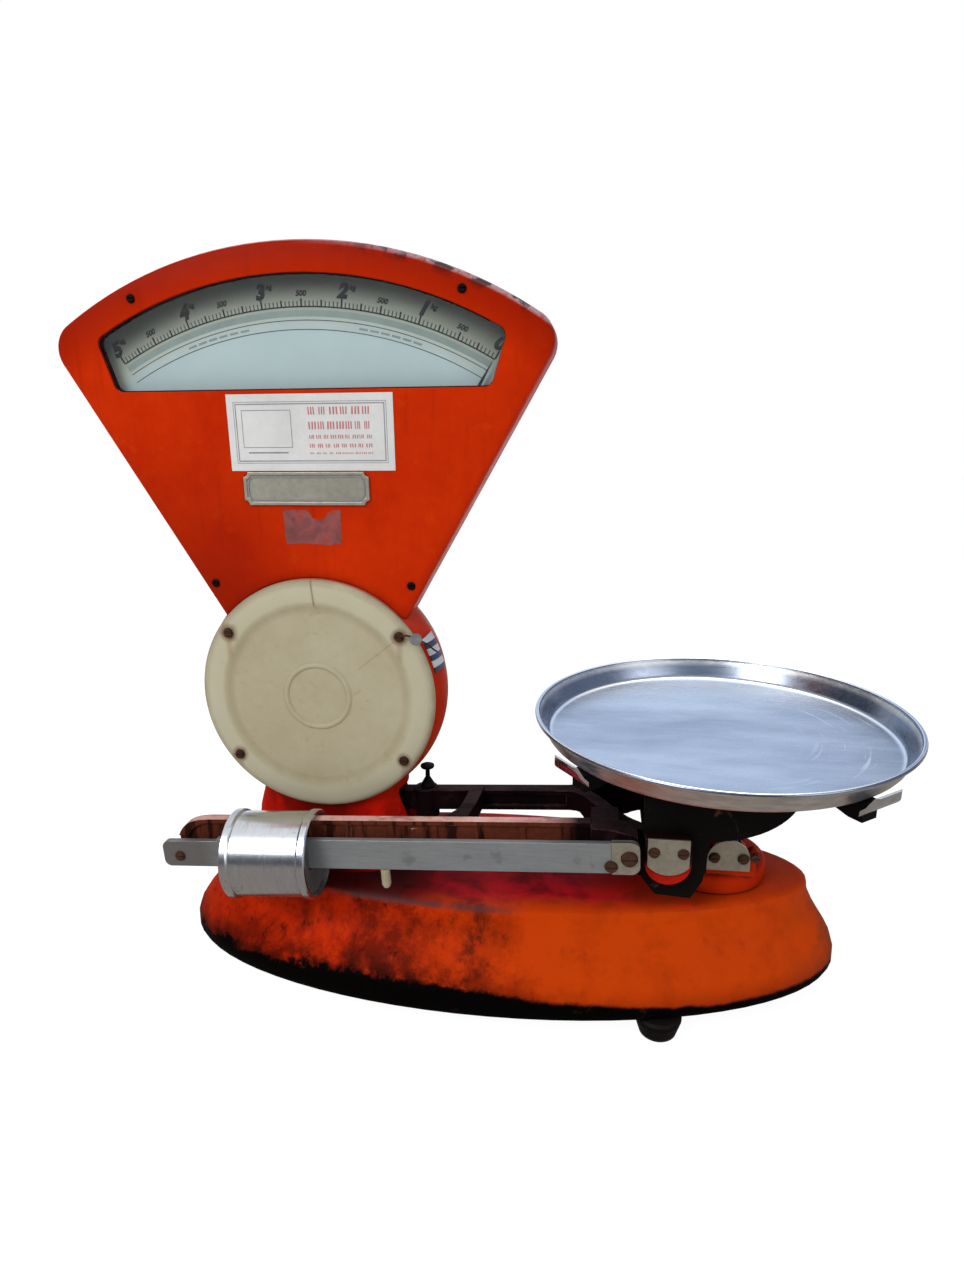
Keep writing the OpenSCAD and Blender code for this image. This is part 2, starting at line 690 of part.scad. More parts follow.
// Flat bar on the front of the lever, with a lower rounded tang at its left end
module poise_bar() color("lightsteelblue") at_fulcrum() slab(bar_front, bar_back) difference() {
  union() {
    translate([tang_step, bar_mid - bar_h / 2]) square([bar_right - tang_step, bar_h]);
    translate([tang_left + 6, tang_z[0]]) square([tang_step - tang_left - 5, tang_z[1] - tang_z[0]]);
    for (z = [tang_z[0] + 6, tang_z[1] - 6]) translate([tang_left + 6, z]) circle(r = 6);
    translate([tang_left, tang_z[0] + 6]) square([8, tang_z[1] - tang_z[0] - 12]);
  }
  translate(bar_screw_spots[0]) circle(r = 2.6);
  translate(bar_screw_spots[2]) circle(r = 2.5);
}
tang_z = [bar_mid - bar_h / 2, bar_mid + bar_h / 2 - 2.6];
// Screws: tang, end plate, and the one over the joint between bar and plate
bar_screw_spots = [[-469.5, 20.3], [-87, 23.7], [-101.5, 16.6]];

// Round-ended plate that carries on from the bar to the lever's lug
module bar_end_plate() color("gainsboro") at_fulcrum() slab(bar_front - 0.5, bar_back) difference() {
  union() {
    translate([bar_right + 0.1, bar_mid - 14]) square([16, 28]);
    translate([-91, bar_mid - 7]) square([12.5, 14]);
    for (s = [-1, 1]) translate([-85.5, bar_mid + s * 7]) circle(r = 7);
  }
  for (p = bar_screw_spots) translate(p) circle(r = 2.6);
}
module bar_screws() color("saddlebrown") at_fulcrum() {
  bar_screw(0, bar_front, 4.6, 2.2);
  bar_screw(1, bar_front - 0.5, 7, 3);
  bar_screw(2, bar_front - 0.5, 5.4, 2.4);
}
module bar_screw(which, y, head_r, head_h) {
  translate([bar_screw_spots[which].x, y, bar_screw_spots[which].y]) screw(head_r, head_h, 2.5, 18);
}
// Pin under the bar that stops the poise
stop_x = -289;
stop_r = 3.9;
stop_low = -7;
module poise_stop_pin() color("cornsilk") at_fulcrum() translate([stop_x, bar_back - 3, stop_low]) {
  cylinder(r1 = stop_r - 1.3, r2 = stop_r, h = 3);
  translate([0, 0, 3]) cylinder(r = stop_r, h = bar_mid - bar_h / 2 - stop_low - 3);
}

// Poise: chromed shell with two rims, filled by a core with a slot for bar and rail, open at the top
module poise_way() {
  translate([bar_front - 2, bar_mid - bar_h / 2 - 2]) square([rail_y + 6.5 - bar_front + 2, 2 * poise_r]);
}
module along_lever(x0, x1) {
  translate([x0, 0, 0]) rotate([90, 0, 90]) linear_extrude(x1 - x0) children();
}
module poise_shell() color("silver") at_fulcrum() translate([poise_left, poise_y, poise_z])
  rotate([0, 90, 0]) rotate_extrude() polygon([
    [poise_r - shell_t, 0], [poise_r - 1, 0], [poise_r, 1], [poise_r, 6], [poise_r - 1, 7.4], [poise_r - 1.8, 8],
    [poise_r - 1.8, poise_l - 8], [poise_r - 1, poise_l - 7.4], [poise_r, poise_l - 6],
    [poise_r, poise_l - 1], [poise_r - 1, poise_l], [poise_r - shell_t, poise_l]
  ]);
module poise_core() color("dimgray") at_fulcrum()
  along_lever(poise_left + 5, poise_left + poise_l - 5) difference() {
  translate([poise_y, poise_z]) circle(r = poise_r - shell_t);
  poise_way();
}

// Pan carrier: two gusset legs, a cross bar and a top plate, with bearings that hang on the load knives

leg_curve = curve([[pan_x + 54, pan_z - 27], [pan_x + 46, pan_z - 46], [pan_x + 24, pan_z - 61],
  [pan_x - 13, pan_z - 64]], 12);
module leg_outline() {
  difference() {
    translate([0, base_z]) polygon(concat(
      [[load_x - 7, leg_low + 2], [load_x - 18.5, leg_low + 17], [load_x - 18.5, pan_z - 27]], leg_curve,
      [[load_x + 31, leg_low + 17], [load_x + 22, leg_low]]
    ));
    translate([load_x, fulcrum_z - 2]) circle(r = 12);
  }
}
module carrier_frame() color([0.06, 0.05, 0.05]) {
  both_sides() slab(leg_y[0], leg_y[1]) leg_outline();
  difference() {
    block([load_x - 12, -leg_y[0], yoke_z[0]], [load_x + 12, leg_y[0], yoke_z[1]]);
    block([load_x - 6.1, -4.1, yoke_z[0] - 1], [load_x + 6.1, 4.1, yoke_z[1] + 1]);
  }
  translate([pan_x, 0, base_z + pan_z - 27]) difference() {
    intersection() {
      cylinder(r = 84, h = 6);
      block([-60, -leg_y[1], 0], [64, leg_y[1], 6]);
    }
    cylinder(r = 40, h = 20, center = true);
  }
}

// Red painted bearing blocks, round below, with a V that sits on the load knives behind a closed front
block_x = load_x + 1.5;
block_r = 18.5;
block_front = 1.5;
module carrier_bearings() color("firebrick") both_sides() {
  slab(block_y[0], block_y[1] - block_front) difference() {
    block_outline();
    translate([load_x, fulcrum_z + run]) polygon([[0, 0], [20, -11.6], [-20, -11.6]]);
  }
  slab(block_y[1] - block_front, block_y[1]) block_outline();
}
module block_outline() difference() {
  union() {
    translate([block_x, fulcrum_z + 10]) circle(r = block_r);
    translate([block_x - block_r, fulcrum_z + 10]) square([2 * block_r, 22]);
  }
  carrier_screw_holes();
}
module carrier_screw_holes() {
  for (s = [-1, 1]) translate([block_x + s * 11.5, fulcrum_z + 21]) circle(r = 2.1);
}
module carrier_end_plates() color("gainsboro") both_sides()
  slab(block_y[1], block_y[1] + plate_t) difference() {
  union() {
    intersection() {
      translate([block_x, fulcrum_z + 23]) circle(r = 22);
      translate([block_x - 16.7, fulcrum_z]) square([33.4, 20]);
    }
    translate([block_x - 16.7, fulcrum_z + 19]) square([33.4, 14]);
  }
  carrier_screw_holes();
}
module carrier_screws() color("saddlebrown") both_sides() for (s = [-1, 1])
  translate([block_x + s * 11.5, -block_y[1] - plate_t, fulcrum_z + 21]) screw(4.8, 2.2, 2, 10);

// Spider: four arms that rise from the top plate to the rim of the pan
spider_low = pan_z - 21;
arm_side = [[34, spider_low + 1], [62, spider_low + 1], [122, pan_z - 11], [138, pan_z - 15],
  [150, pan_z - 15], [150, pan_z - gap], [134, pan_z - gap], [120, pan_z - 3], [66, pan_z - 14], [34, pan_z - 14]];
module arm_angles() {
  for (a = [37, 127, 217, 307]) translate([pan_x, 0, base_z]) rotate([0, 0, a]) children();
}
module pan_spider() color([0.06, 0.05, 0.05]) {
  arm_angles() slab(-8, 8) polygon(arm_side);
  translate([pan_x, 0, base_z + spider_low]) difference() {
    cylinder(r = 60, h = 6);
    translate([0, 0, -1]) cylinder(r = 30, h = 8);
  }
}
// Leaf-shaped ears on the arm ends, long along the rim and set off from the pan's wall
ear_side = [[150, -7], [156, -3.5], [161, 3], [164, 11], [162.4, 11.6], [159.4, 4.2], [154.8, -1.2], [150, -4]];
module spider_ears() color("silver") arm_angles() intersection() {
  slab(-23, 23) translate([0, pan_z]) polygon(ear_side);
  translate([0, 0, pan_z - 10]) linear_extrude(25) intersection() {
    translate([157 - 24, 0]) circle(r = 33);
    translate([157 + 24, 0]) circle(r = 33);
  }
}

// Parallel motion under the deck: stem, link and bracket keep the pan level
module check_stem() color("dimgray") {
  block([load_x - 6, -4, check_z + 10], [load_x + 6, 4, yoke_z[1]]);
  slab(-4, 4) translate([load_x, check_z]) circle(r = 8);
  slab(-4, 4) translate([load_x - 6, check_z]) square([12, 14]);
  slab(-11, 11) translate([load_x, check_z]) circle(r = 3);
}
module check_link() color("dimgray") difference() {
  both_sides() slab(5, 9) union() {
    translate([load_x, check_z]) circle(r = 8);
    translate([fulcrum_x, check_z]) circle(r = 9);
    translate([load_x, check_z - 6]) square([load_arm, 12]);
  }
  slab(-20, 20) translate([load_x, check_z]) circle(r = 3.5);
  slab(-20, 20) translate([fulcrum_x, check_z]) circle(r = 4 + run);
}
module check_bracket() color("dimgray") {
  both_sides() slab(10, 15) union() {
    translate([fulcrum_x, check_z]) circle(r = 10);
    translate([fulcrum_x - 10, check_z]) square([20, base_h - base_wall - 32]);
  }
  block([fulcrum_x - 10, -15, deck_z - base_wall - 6.5], [fulcrum_x + 10, 15, deck_z - base_wall - 1]);
  slab(-18, 18) translate([fulcrum_x, check_z]) circle(r = 4);
}

// Damper: oil cylinder under the deck, rod through the lever's boss, adjusting screw on top
module damper_cylinder() color([0.1, 0.1, 0.1]) translate([damper_x, 0, base_z]) rotate_extrude() polygon([
  [0, 12], [15, 12], [15, base_h - base_wall - 1], [8, base_h - base_wall - 1], [8, 97],
  [7, 98], [3.5, 98], [3.5, 68], [12.5, 68], [12.5, 15], [0, 15]
]);
piston_z = base_z + 50;
module damper_rod() color("dimgray") translate([damper_x, 0, 0]) {
  translate([0, 0, piston_z]) cylinder(r = rod_r, h = base_z + 147.5 - piston_z);
  translate([0, 0, piston_z - 4]) cylinder(r = 12, h = 4);
}
module damper_knob() color("black") translate([damper_x, 0, base_z + 147.5]) rotate_extrude() polygon([
  [0, 0.1], [6.5, 0.1], [6.5, 2.5], [3.4, 8], [2.2, 10], [2, 17], [5.6, 19], [6.4, 20], [6.4, 21.5],
  [5, 22.3], [0, 22.3]
]);

// Pan: pressed steel with a flared wall and a rolled rim
module pan() color("lightsteelblue") translate([pan_x, 0, base_z + pan_z]) rotate_extrude($fn = 180) {
  polygon(concat(
    [[0, 0]],
    [for (a = [-90:15:-15]) [143 + 8 * cos(a), 8 + 8 * sin(a)]],
    [[pan_r - 2.6, pan_depth - 3], [pan_r - 2.6 - pan_t, pan_depth - 3]],
    [for (a = [-15:-15:-90]) [143 + (8 - pan_t) * cos(a), 8 + (8 - pan_t) * sin(a)]],
    [[0, pan_t]]
  ));
  translate([pan_r - 2, pan_depth - 2]) circle(r = 2, $fn = 24);
}

base_casting();
deck_bolts();
foot_front();
foot_rear();
foot_end();
fulcrum_turret();
fulcrum_bearings();
fulcrum_end_plates();
turret_screws();
drum_housing();
drum_front_cover();
drum_rear_cover();
cover_screws();
bearing_bridges();
shaft_bearings();
fan_housing();
fan_front_panel();
fan_screws();
window_glass_front();
window_glass_rear();
window_seals();
dial_plate_front();
dial_plate_rear();
dial_brackets();
name_plate();
paper_label();
seal_wire();
lead_seal();
seal_tag();
pendulum_shaft();
tape_cam();
pendulum_arm();
pendulum_bob();
pointers();
draw_tape();
lever_casting();
fulcrum_knives();
load_knives();
nose_knife();
poise_bar();
bar_end_plate();
bar_screws();
poise_stop_pin();
poise_shell();
poise_core();
carrier_frame();
carrier_bearings();
carrier_end_plates();
carrier_screws();
pan_spider();
spider_ears();
check_stem();
check_link();
check_bracket();
damper_cylinder();
damper_rod();
damper_knob();
pan();
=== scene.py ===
"""A fan dial counter scale: worn orange castings, cream drum cover, steel poise bar and a round pan."""
import math
import random

import bpy
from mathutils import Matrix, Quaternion, Vector


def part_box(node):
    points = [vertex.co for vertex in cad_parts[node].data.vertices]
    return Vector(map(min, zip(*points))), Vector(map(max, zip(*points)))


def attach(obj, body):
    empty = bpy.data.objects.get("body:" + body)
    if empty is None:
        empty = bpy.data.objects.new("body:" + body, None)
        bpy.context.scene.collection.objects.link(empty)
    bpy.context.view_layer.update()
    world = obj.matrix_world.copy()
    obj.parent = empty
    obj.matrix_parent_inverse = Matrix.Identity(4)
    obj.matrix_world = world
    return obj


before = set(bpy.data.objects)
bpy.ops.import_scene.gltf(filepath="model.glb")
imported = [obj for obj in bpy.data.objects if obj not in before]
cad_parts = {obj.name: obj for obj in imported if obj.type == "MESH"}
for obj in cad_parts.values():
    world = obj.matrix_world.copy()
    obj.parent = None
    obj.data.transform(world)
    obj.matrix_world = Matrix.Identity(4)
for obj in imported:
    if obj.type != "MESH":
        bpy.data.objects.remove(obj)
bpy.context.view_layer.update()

MM = 0.001


def middle(node):
    """The middle of a node's box."""
    low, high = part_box(node)
    return (low + high) / 2


def half_size(node):
    """Half the size of a node's box."""
    low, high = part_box(node)
    return (high - low) / 2


# Places taken from the frame
DIAL_X = middle("drum_front_cover").x
DRUM_Z = middle("drum_front_cover").z
DRUM_R = half_size("drum_front_cover").x
SHAFT_Z = middle("pendulum_shaft").z
FAN_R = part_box("fan_front_panel")[1].z - SHAFT_Z
PANEL_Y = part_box("fan_front_panel")[0].y
DIAL_FRONT_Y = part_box("dial_plate_front")[0].y
DIAL_REAR_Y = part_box("dial_plate_rear")[1].y
PAN_X = middle("pan").x
PAN_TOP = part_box("pan")[1].z
PAN_R = half_size("pan").y
BASE_LOW, BASE_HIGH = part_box("base_casting")
LABEL_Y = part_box("paper_label")[0].y
PLATE_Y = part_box("name_plate")[0].y
BAR_LOW, BAR_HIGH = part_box("poise_bar")
BLOCK_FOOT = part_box("carrier_end_plates")[0].z
TAG_LOW, TAG_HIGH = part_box("seal_tag")

# Camera of the photograph, as a place and three angles
CAMERA_PLACE = (0.08321, -0.68949, 0.51010)
CAMERA_YAW = -0.1343
CAMERA_PITCH = 0.2765
CAMERA_ROLL = -0.0126
CAMERA_LENS = 23.14

# Radii of the dial's printed rings, all from the pointer's shaft
DIGITS_R = 321.5 * MM
KG_R = 324.5 * MM
FIGURES_R = 318.5 * MM
TICKS_R = 309 * MM
BAND_R = (301 * MM, 306 * MM)
THIN_LINES_R = (298 * MM, 291 * MM)
DASHES_R = (293.8 * MM, 295.6 * MM)

# Angles of the digits 0 to 5 from the vertical, and of the two runs of dashes below the band
DIGIT_ANGLES = (30.6, 18.3, 6.5, -5.7, -17.7, -29.8)
DASH_ANGLES = ((-19, -8), (9.5, 20))
TICKS_PER_DIGIT = 20
DASHES = 6

# The cream cover: screws from its centre, the pressed groove and the raised border outside it
COVER_SCREW_U, COVER_SCREW_V = 76 * MM, 57 * MM
GROOVE_R = (76.5 * MM, 82.5 * MM)
BORDER_R = (84 * MM, 87 * MM)

# Places on the base: where drips run, where the worn shoulder shows, and where the foot's band is tallest
DRIPS_X = (0, 34 * MM)
SHOULDER_X = (-140 * MM, 20 * MM)
BULGE_X = (-200 * MM, 80 * MM)

# Places on the deck: black grease fades out to the right, then the red one, and the front edge stays clean
BLACK_GREASE_X = (-45 * MM, -12 * MM)
PLAIN_PAINT_X = (120 * MM, 240 * MM)
DECK_EDGE_Y = (-68 * MM, -52 * MM)

# The lever's front rail ends between these, and the pan's floor turns into its wall between these radii
RAIL_END_X = (60 * MM, 78 * MM)
PAN_BEND_R = (110 * MM, 125 * MM)

# Dark stains on the poise bar: x, z and radius
BAR_STAINS = (
    (-62 * MM, 149 * MM, 6.0 * MM), (-14 * MM, 152 * MM, 3.5 * MM),
    (14 * MM, 158 * MM, 4.5 * MM), (78 * MM, 155 * MM, 3.0 * MM),
)

# The torn sticker's sides: left, right, low and high
STICKER = (-173.5 * MM, -123.5 * MM, 400 * MM, 429 * MM)

# Paints that several pieces share
ORANGE = (0.53, 0.027, 0.0010)
ORANGE_DEEP = (0.41, 0.014, 0.0006)
ORANGE_FADED = (0.58, 0.046, 0.003)
GRIME = (0.010, 0.003, 0.002)
BARE_IRON = (0.060, 0.042, 0.034)

# How far printed marks and the sticker stand in front of their face
PRINT_GAP = 0.06 * MM
DIAL_GAP = 0.08 * MM
STICKER_GAP = 0.12 * MM

# What the lamps are aimed at: the middle of the scale
SCALE_MIDDLE = (0, 0, 0.25)


# Node trees


class Net:
    """A node tree in the making: puts nodes in, joins them, and hands back their outputs."""

    def __init__(self, tree):
        self.tree = tree

    def node(self, kind, settings=None, **inputs):
        made = self.tree.nodes.new("ShaderNode" + kind)
        for name, value in (settings or {}).items():
            setattr(made, name, value)
        for name, value in inputs.items():
            self.feed(made.inputs[name.replace("_", " ")], value)
        return made

    def feed(self, socket, value):
        """Joins another node's output to a socket, or sets its plain value."""
        if isinstance(value, bpy.types.NodeSocket):
            self.tree.links.new(value, socket)
        elif socket.type == "RGBA":
            socket.default_value = (*value[:3], 1.0)
        else:
            socket.default_value = value

    def math(self, operation, first, second=0.0, clamp=False):
        made = self.node("Math", {"operation": operation, "use_clamp": clamp})
        self.feed(made.inputs[0], first)
        self.feed(made.inputs[1], second)
        return made.outputs[0]

    def product(self, *values):
        result = values[0]
        for value in values[1:]:
            result = self.math("MULTIPLY", result, value)
        return result

    def total(self, *values):
        result = values[0]
        for value in values[1:]:
            result = self.math("ADD", result, value)
        return result

    def less(self, value, taken):
        return self.math("SUBTRACT", value, taken)

    def greater(self, first, second):
        return self.math("MAXIMUM", first, second)

    def mix(self, factor, first, second):
        """Two colours mixed by a factor."""
        made = self.node("Mix", {"data_type": "RGBA", "clamp_factor": True})
        self.feed(made.inputs[0], factor)
        self.feed(made.inputs[6], first)
        self.feed(made.inputs[7], second)
        return made.outputs[2]

    def remap(self, value, low, high, to_low=0.0, to_high=1.0, smooth=False):
        """A value carried from one range to another, and held at its ends."""
        kind = "SMOOTHSTEP" if smooth else "LINEAR"
        made = self.node("MapRange", {"clamp": True, "interpolation_type": kind}, Value=value)
        for k, edge in enumerate((low, high, to_low, to_high)):
            made.inputs[k + 1].default_value = edge
        return made.outputs[0]

    def window(self, value, low, high, soft):
        """1 between low and high, with soft sides."""
        rise = self.remap(value, low - soft, low + soft)
        fall = self.remap(value, high - soft, high + soft, 1.0, 0.0)
        return self.product(rise, fall)

    def noise(self, vector, scale, detail=3.0, rough=0.55, distortion=0.0):
        made = self.node("TexNoise", Vector=vector, Scale=scale, Detail=detail, Roughness=rough,
                         Distortion=distortion)
        return made.outputs[0]

    def stretched(self, vector, x, y, z):
        """Coordinates multiplied along each axis."""
        made = self.node("VectorMath", {"operation": "MULTIPLY"})
        self.feed(made.inputs[0], vector)
        made.inputs[1].default_value = (x, y, z)
        return made.outputs[0]

    def parts(self, vector):
        """A vector's x, y and z."""
        return self.node("SeparateXYZ", Vector=vector).outputs

    def facing_up(self):
        """How far the surface faces up: 1 on a level top, 0 on a wall, -1 underneath."""
        return self.parts(self.node("NewGeometry").outputs["Normal"])[2]

    def ring_distance(self, x, z, centre_x, centre_z):
        """Distance from a centre, in a plane."""
        across = self.less(x, centre_x)
        up = self.less(z, centre_z)
        return self.math("SQRT", self.total(self.product(across, across), self.product(up, up)))

    def near_line(self, x, z, start, end, width):
        """1 on a straight line in X and Z between two points, 0 away from it."""
        length = math.dist(start, end)
        ux, uz = (end[0] - start[0]) / length, (end[1] - start[1]) / length
        dx = self.less(x, start[0])
        dz = self.less(z, start[1])
        along = self.total(self.product(dx, ux), self.product(dz, uz))
        off = self.math("ABSOLUTE", self.less(self.product(dx, uz), self.product(dz, ux)))
        return self.product(self.remap(off, 0, width, 1, 0), self.window(along, 0, length, 2 * MM))

    def group(self, tree, **inputs):
        made = self.tree.nodes.new("ShaderNodeGroup")
        made.node_tree = tree
        for name, value in inputs.items():
            self.feed(made.inputs[name], value)
        return made.outputs

    def seen_share(self):
        """1 for what the camera sees, straight on, in a reflection or through glass."""
        path = self.node("LightPath").outputs
        seen = self.greater(path["Is Camera Ray"], path["Is Glossy Ray"])
        return self.greater(seen, path["Is Transmission Ray"])

    def blend_shaders(self, share, first, second, out):
        """Sends two shaders to the output, the second one by its share."""
        either = self.node("MixShader")
        self.feed(either.inputs[0], share)
        self.feed(either.inputs[1], first.outputs[0])
        self.feed(either.inputs[2], second.outputs[0])
        self.feed(out.inputs[0], either.outputs[0])


def new_group(name, inputs, outputs):
    """An empty node group with its sockets. inputs are (name, value) and outputs are (name, kind)."""
    tree = bpy.data.node_groups.new(name, "ShaderNodeTree")
    for label, value in inputs:
        kind = "NodeSocketVector" if value is None else "NodeSocketFloat"
        socket = tree.interface.new_socket(name=label, in_out="INPUT", socket_type=kind)
        if value is not None:
            socket.default_value = value
    for label, kind in outputs:
        tree.interface.new_socket(name=label, in_out="OUTPUT", socket_type="NodeSocket" + kind)
    net = Net(tree)
    given = tree.nodes.new("NodeGroupInput").outputs
    result = tree.nodes.new("NodeGroupOutput").inputs
    return net, given, result


def edge_wear_group():
    """Rounded edge normals, and a mask of the edges that are rubbed."""
    net, given, result = new_group(
        "edge_wear", [("Place", None), ("Radius", 0.0012), ("Amount", 0.6)],
        [("Worn", "Float"), ("Normal", "Vector")])
    bevel = net.node("Bevel", {"samples": 6}, Radius=given["Radius"]).outputs[0]
    flat = net.node("NewGeometry").outputs["Normal"]
    dot = net.node("VectorMath", {"operation": "DOT_PRODUCT"})
    net.feed(dot.inputs[0], bevel)
    net.feed(dot.inputs[1], flat)
    turned = net.remap(dot.outputs["Value"], 0.90, 0.995, 1.0, 0.0)
    patchy = net.noise(given["Place"], 38.0, 5.0, 0.65)
    fine = net.noise(given["Place"], 420.0, 3.0, 0.6)
    broken = net.total(patchy, net.product(fine, 0.35))
    level = net.less(1.05, net.product(given["Amount"], 0.5))
    kept = net.remap(net.less(broken, level), -0.06, 0.08)
    net.feed(result["Worn"], net.product(turned, kept))
    net.feed(result["Normal"], bevel)
    return net.tree


def crease_dirt_group():
    """Dirt that gathers where surfaces meet, broken up by noise."""
    net, given, result = new_group(
        "crease_dirt", [("Place", None), ("Reach", 0.012), ("Amount", 0.7)], [("Dirt", "Float")])
    open_sky = net.node("AmbientOcclusion", {"samples": 6}, Distance=given["Reach"]).outputs["AO"]
    closed = net.remap(open_sky, 0.35, 0.95, 1.0, 0.0)
    patchy = net.noise(given["Place"], 60.0, 5.0, 0.65)
    broken = net.remap(patchy, 0.3, 0.65, 0.35, 1.0)
    net.feed(result["Dirt"], net.product(closed, broken, given["Amount"]))
    return net.tree


def mottle_group():
    """Slow and quick colour changes of an old finish, about 0.5 in the middle, and sparse spots."""
    net, given, result = new_group(
        "mottle", [("Place", None), ("Scale", 14.0)], [("Tone", "Float"), ("Spots", "Float")])
    slow = net.noise(given["Place"], given["Scale"], 4.0, 0.6, 0.4)
    quick = net.noise(given["Place"], net.product(given["Scale"], 9.0), 4.0, 0.65)
    tone = net.total(net.product(slow, 0.7), net.product(quick, 0.3))
    net.feed(result["Tone"], net.remap(tone, 0.32, 0.68))
    spots = net.noise(given["Place"], net.product(given["Scale"], 5.0), 5.0, 0.7, 0.6)
    net.feed(result["Spots"], net.remap(spots, 0.60, 0.70))
    return net.tree


def grain_group():
    """Fine unevenness of a cast or painted surface, for a Bump's height."""
    net, given, result = new_group(
        "grain", [("Place", None), ("Scale", 260.0), ("Soft", 0.5)], [("Height", "Float")])
    coarse = net.noise(given["Place"], net.product(given["Scale"], 0.25), 3.0, 0.5)
    fine = net.noise(given["Place"], given["Scale"], 4.0, 0.6)
    keep = net.less(1.0, given["Soft"])
    net.feed(result["Height"], net.total(coarse, net.product(fine, keep)))
    return net.tree


def brushed_group():
    """Fine lines that run one way, for rolled, turned or scrubbed metal. Place comes in stretched."""
    net, given, result = new_group("brushed", [("Place", None), ("Scale", 60.0)], [("Lines", "Float")])
    wide = net.noise(given["Place"], given["Scale"], 4.0, 0.65)
    thin = net.noise(given["Place"], net.product(given["Scale"], 4.0), 3.0, 0.7)
    lines = net.total(net.product(wide, 0.6), net.product(thin, 0.4))
    net.feed(result["Lines"], net.remap(lines, 0.3, 0.7))
    return net.tree


def rust_group():
    """Rust in spots and runs: a mask, and a tone from dark brown to orange brown."""
    net, given, result = new_group(
        "rust", [("Place", None), ("Scale", 40.0), ("Amount", 0.4)],
        [("Rust", "Float"), ("Colour", "Color")])
    patches = net.noise(given["Place"], given["Scale"], 6.0, 0.7, 0.5)
    level = net.less(0.95, net.product(given["Amount"], 0.6))
    net.feed(result["Rust"], net.remap(net.less(patches, level), -0.10, 0.03))
    tone = net.remap(net.noise(given["Place"], net.product(given["Scale"], 7.0), 3.0, 0.6), 0.35, 0.65)
    net.feed(result["Colour"], net.mix(tone, (0.035, 0.013, 0.006), (0.17, 0.062, 0.022)))
    return net.tree


EDGE_WEAR = edge_wear_group()
CREASE_DIRT = crease_dirt_group()
MOTTLE = mottle_group()
GRAIN = grain_group()
BRUSHED = brushed_group()
RUST = rust_group()


# Materials


def emptied(owner, output):
    """The node tree of a material or a world with nothing in it but its output."""
    owner.use_nodes = True
    net = Net(owner.node_tree)
    net.tree.nodes.clear()
    return net, net.node(output)


class Finish(Net):
    """A material in the making: one Principled shader, and a colour laid on in coats from the ground up.

    place, x, y and z are the surface's coordinates in the part's own frame, in metres.
    """

    def __init__(self, name):
        self.material = bpy.data.materials.new(name)
        net, self.out = emptied(self.material, "OutputMaterial")
        super().__init__(net.tree)
        self.shader = self.node("BsdfPrincipled")
        self.feed(self.out.inputs[0], self.shader.outputs[0])
        self.place = self.node("TexCoord").outputs["Object"]
        self.x, self.y, self.z = self.parts(self.place)
        self.colour = None

    def cloud(self, scale, detail, rough, distortion=0.0, stretch=None):
        """Noise over the surface. A stretch under 1 draws it out along its axis."""
        place = self.stretched(self.place, *stretch) if stretch else self.place
        return self.noise(place, scale, detail, rough, distortion)

    def mottle(self, scale):
        return self.group(MOTTLE, Place=self.place, Scale=scale)

    def brushed(self, scale, stretch):
        return self.group(BRUSHED, Place=self.stretched(self.place, *stretch), Scale=scale)["Lines"]

    def rust(self, scale, amount):
        return self.group(RUST, Place=self.place, Scale=scale, Amount=amount)

    def creases(self, reach, amount):
        return self.group(CREASE_DIRT, Place=self.place, Reach=reach, Amount=amount)["Dirt"]

    def edges(self, radius, amount):
        return self.group(EDGE_WEAR, Place=self.place, Radius=radius, Amount=amount)

    def grain(self, scale, soft):
        return self.group(GRAIN, Place=self.place, Scale=scale, Soft=soft)["Height"]

    def ground(self, mask, first, second):
        """The first coat: two tones mixed by a mask."""
        self.colour = self.mix(mask, first, second)

    def coat(self, colour, *masks):
        """A further coat, as thick as the masks allow together."""
        self.colour = self.mix(self.product(*masks), self.colour, colour)

    def plain(self, **values):
        """Numbers that are the same all over the surface, on the shader's own sockets."""
        for name, value in values.items():
            self.feed(self.shader.inputs[name.replace("_", " ")], value)

    def relief(self, height, distance, strength, normal=None):
        """Small unevenness that only the light sees."""
        made = self.node("Bump", Height=height, Distance=distance, Strength=strength)
        if normal is not None:
            self.feed(made.inputs["Normal"], normal)
        self.feed(self.shader.inputs["Normal"], made.outputs[0])

    def done(self, roughness):
        """Joins the last coat and the roughness to the shader, and hands the material over."""
        self.feed(self.shader.inputs["Base Color"], self.colour)
        self.feed(self.shader.inputs["Roughness"], roughness)
        return self.material


def orange_ground(name, wear, dirt, reach):
    """Old orange enamel, mottled and dirty in the corners, with the edges that will be rubbed to iron."""
    paint = Finish(name)
    mottle = paint.mottle(11.0)
    paint.ground(mottle["Tone"], ORANGE_DEEP, ORANGE)
    paint.coat(ORANGE_FADED, mottle["Spots"], 0.35)
    dirty = paint.creases(reach, dirt)
    paint.coat(GRIME, dirty)
    return paint, dirty, paint.edges(1.6 * MM, wear)


def rubbed(paint, dirty, edge, rough=0.42):
    """The last steps that all orange paints share: rubbed edges, gloss and grain."""
    paint.coat(BARE_IRON, edge["Worn"])
    gloss = paint.remap(paint.mottle(24.0)["Tone"], 0.0, 1.0, rough - 0.08, rough + 0.12)
    paint.plain(Specular_IOR_Level=0.02)
    paint.relief(paint.grain(230.0, 0.6), 0.6 * MM, 0.30, edge["Normal"])
    return paint.done(paint.math("ADD", gloss, paint.product(dirty, 0.35), clamp=True))


